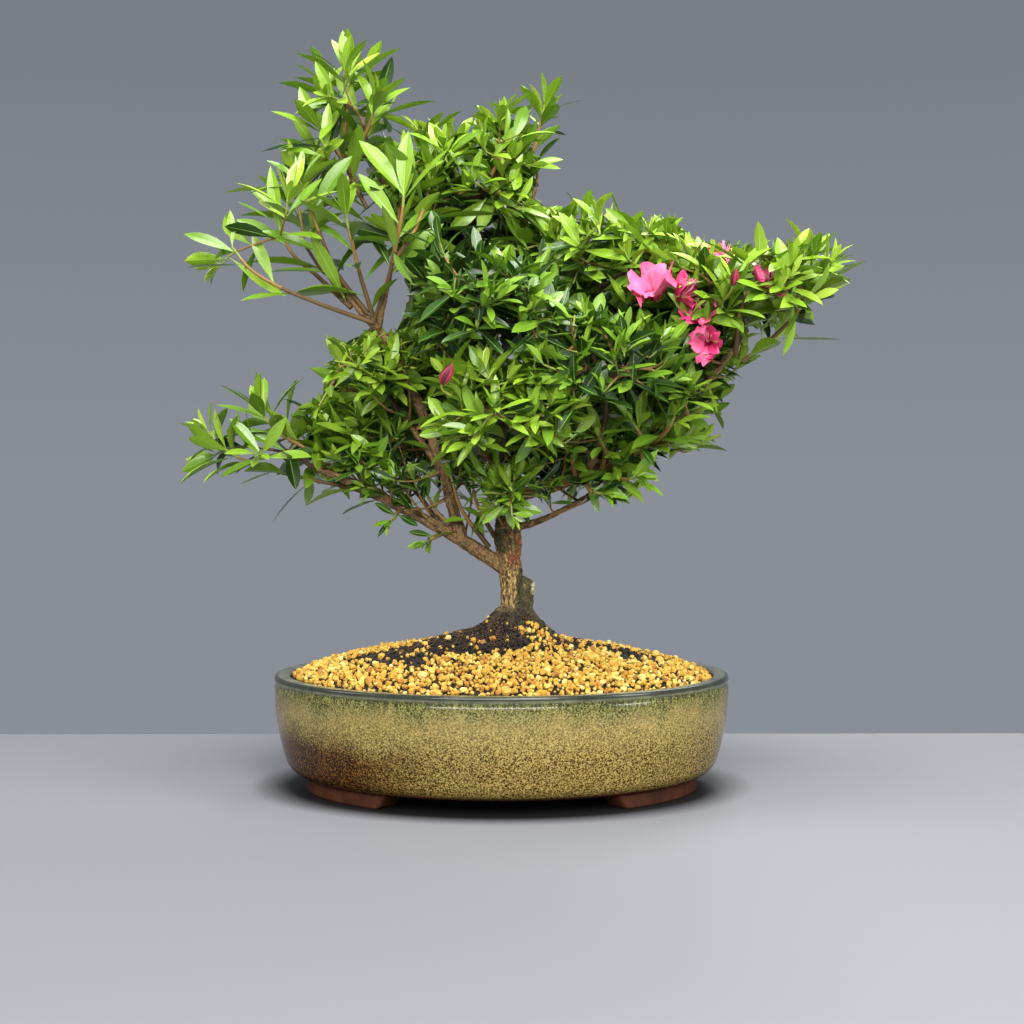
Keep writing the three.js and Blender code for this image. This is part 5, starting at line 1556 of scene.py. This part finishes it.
def petal_arrays(place, facing, turn, size, rng):
    across = perpendicular(facing)
    out = across * np.cos(turn) + np.cross(facing, across) * np.sin(turn)
    beside = np.cross(facing, out)
    t = np.linspace(0, 1, PETAL_ROWS)[:, None]
    s = np.linspace(-1, 1, PETAL_COLUMNS)[None, :]
    length = PETAL_LENGTH * size * rng.uniform(*PETAL_SPREAD)
    breadth = length * (0.09 + 0.4 * np.sin(np.pi * np.clip(t * 0.84, 0, 1)) ** 0.9) * rng.uniform(*PETAL_SPREAD)
    flare = rng.uniform(0.5, 1.1)
    radial = length * (0.06 + 0.34 * t + 0.5 * flare * t**2) * (1 - 0.14 * s**2 * t)
    rise = length * (1.0 * t - 0.5 * flare * t**2.4)
    phase = rng.uniform(0, 6, 4)
    waves = 0.13 * np.sin(4 * s + phase[0]) + 0.09 * np.sin(8 * s + 6 * t + phase[1])
    waves = waves + 0.07 * np.sin(9 * t + 3 * s + phase[2])
    radial = radial + length * t**2 * 0.1 * np.sin(6 * s + phase[3])
    ruffle = length * t * waves + length * 0.2 * s**2 * t
    points = place + radial[..., None] * out + (rise + ruffle)[..., None] * facing
    points = points + (breadth * s)[..., None] * beside
    rows = np.arange(PETAL_ROWS - 1)[:, None] * PETAL_COLUMNS + np.arange(PETAL_COLUMNS - 1)[None, :]
    faces = np.stack([rows, rows + 1, rows + 1 + PETAL_COLUMNS, rows + PETAL_COLUMNS], -1).reshape(-1, 4)
    deep = np.repeat(np.arange(PETAL_ROWS - 1) < 2, PETAL_COLUMNS - 1)
    return points.reshape(-1, 3), faces, deep


# %% Blossoms
BLOSSOM_SEED, PETALS_EACH, STAMENS_EACH, STAMEN_LENGTH, STAMEN_RISE = 77, 5, 6, 17, 3
STAMEN_RADII = np.array([0.22, 0.22, 0.2, 0.18, 0.18, 0.42, 0.1])
# place, facing and size
BLOSSOMS = [
    ((80, -53, 262), (-0.25, -0.55, 0.7), 1.05),
    ((90, -57, 262), (0.75, -0.5, 0.35), 0.8),
    ((103, -54, 251), (-0.1, -0.6, 0.5), 0.72),
    ((107, -58, 240), (-0.2, -0.7, -0.15), 0.7),
    ((137, -60, 263), (0.25, -0.5, 0.8), 0.85),
    ((116, -38, 280), (0.1, -0.35, 0.9), 0.7),
]
TRANSLUCENT = {"Subsurface_Weight": 0.15, "Subsurface_Scale": 0.003}

petal_finishes = [
    plain("petal_pink", (222, 58, 120), 0.5, (400, 4), 0.4, 0.5, **TRANSLUCENT),
    plain("petal_soft", (234, 98, 146), 0.5, (400, 4), 0.4, 0.5, **TRANSLUCENT),
    plain("petal_deep", (190, 34, 90), 0.5, (500, 4), 0.4, 0.5),
]
stamen_pink = plain("stamen_pink", (244, 150, 180), 0.5, (2500, 2), 0.1, 0.4)
rng = np.random.default_rng(BLOSSOM_SEED)
along = np.linspace(0, 1, len(STAMEN_RADII))
parts, dealt, stamens = [], [], []
for place, facing, size in BLOSSOMS:
    place, facing = np.array(place, float), unit(np.array(facing))
    start = rng.uniform(0, 2 * np.pi)
    for k in range(PETALS_EACH):
        lean = unit(facing + 0.08 * rng.normal(size=3))
        foot = place + facing * 0.4 * (k % 2)
        *petal, deep = petal_arrays(foot, lean, start + k * 2 * np.pi / PETALS_EACH, size, rng)
        parts.append(petal)
        dealt.append(np.where(deep, 2, rng.integers(2)))
    for k in range(STAMENS_EACH):
        way = unit(facing + 0.22 * rng.normal(size=3))
        line = place + np.outer(along * STAMEN_LENGTH * size, way) + np.outer(along**2 * STAMEN_RISE, UP)
        stamens.append(tube(line, STAMEN_RADII, 5))
add_piece("petals", join_arrays(parts), petal_finishes, [], np.concatenate(dealt))
add_piece("stamens", join_arrays(stamens), [stamen_pink])

# %% [markdown]
# Two closed buds show too, furled to a point. A bud is a turned spindle with ridges that twist, striped dark and
# red. Blossoms and buds each get a stalk, drawn from the nearest twig.

# %% Buds
# place, way that it points, and length
BUDS = [((-30, -90, 216), (0.45, -0.35, 0.8), 13), ((116, -80, 266), (0.1, -0.5, 0.8), 10)]
BUD_RINGS, BUD_ROUND, BUD_RIDGES = 12, 12, 5
BUD_STRIPES = [0, 1, 1, 0, 1, 0, 1, 1, 0, 1, 0, 1]

bud_turn = BUD_RIDGES * np.arange(BUD_ROUND) * 2 * np.pi / BUD_ROUND
buds = []
for place, way, length in BUDS:
    share = np.linspace(0, 1, BUD_RINGS)
    swell = 0.22 * length * np.sin(np.pi * share**0.8) ** 0.9 + 0.05
    points, faces = tube(np.array(place) + np.outer(share * length, unit(np.array(way))), swell, BUD_ROUND)
    rings = points.reshape(BUD_RINGS, BUD_ROUND, 3)
    centre = rings.mean(1, keepdims=True)
    ridges = 1 + 0.14 * np.cos(bud_turn + 3 * share[:, None])
    buds.append(((centre + (rings - centre) * ridges[..., None]).reshape(-1, 3), faces))
bud_finishes = [
    plain("bud_red", (168, 40, 74), 0.45, (700, 3), 0.3, 0.5),
    plain("bud_dark", (84, 20, 30), 0.5, (700, 3), 0.3, 0.5),
]
print(len(buds), "buds")

# %% Stalks
STALK_STEPS, STALK_RADII, STALK_SIDES = 8, (0.75, 0.6), 6

twig_points = np.concatenate([run[0] for runs in [*runs_of.values(), *long_runs_of.values()] for run in runs])
stalks = []
for place, way, _ in BLOSSOMS + BUDS:
    place, way = np.array(place, float), unit(np.array(way))
    fork = twig_points[np.argmin(np.linalg.norm(twig_points - place, axis=1))]
    line = bend(fork, place - way * 4, place + way, STALK_STEPS)
    stalks.append(tube(line, np.linspace(*STALK_RADII, STALK_STEPS), STALK_SIDES))
add_piece("stalks", join_arrays(stalks), [twig_finishes[GREEN]])
stripes = np.tile(BUD_STRIPES, (BUD_RINGS - 1) * len(buds))
add_piece("buds", join_arrays(buds), bud_finishes, [], stripes)

# %% [markdown]
# ## Sizes
# The dressed plant has to stay as large as the measured one. Both boxes are written down side by side.

# %% Both boxes side by side
dressed_box = [list(corner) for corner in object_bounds()]
for label, box in (("measured", frame_box), ("dressed", dressed_box)):
    print(label, [round((high - low) * 1000, 1) for low, high in zip(*box)], "mm")
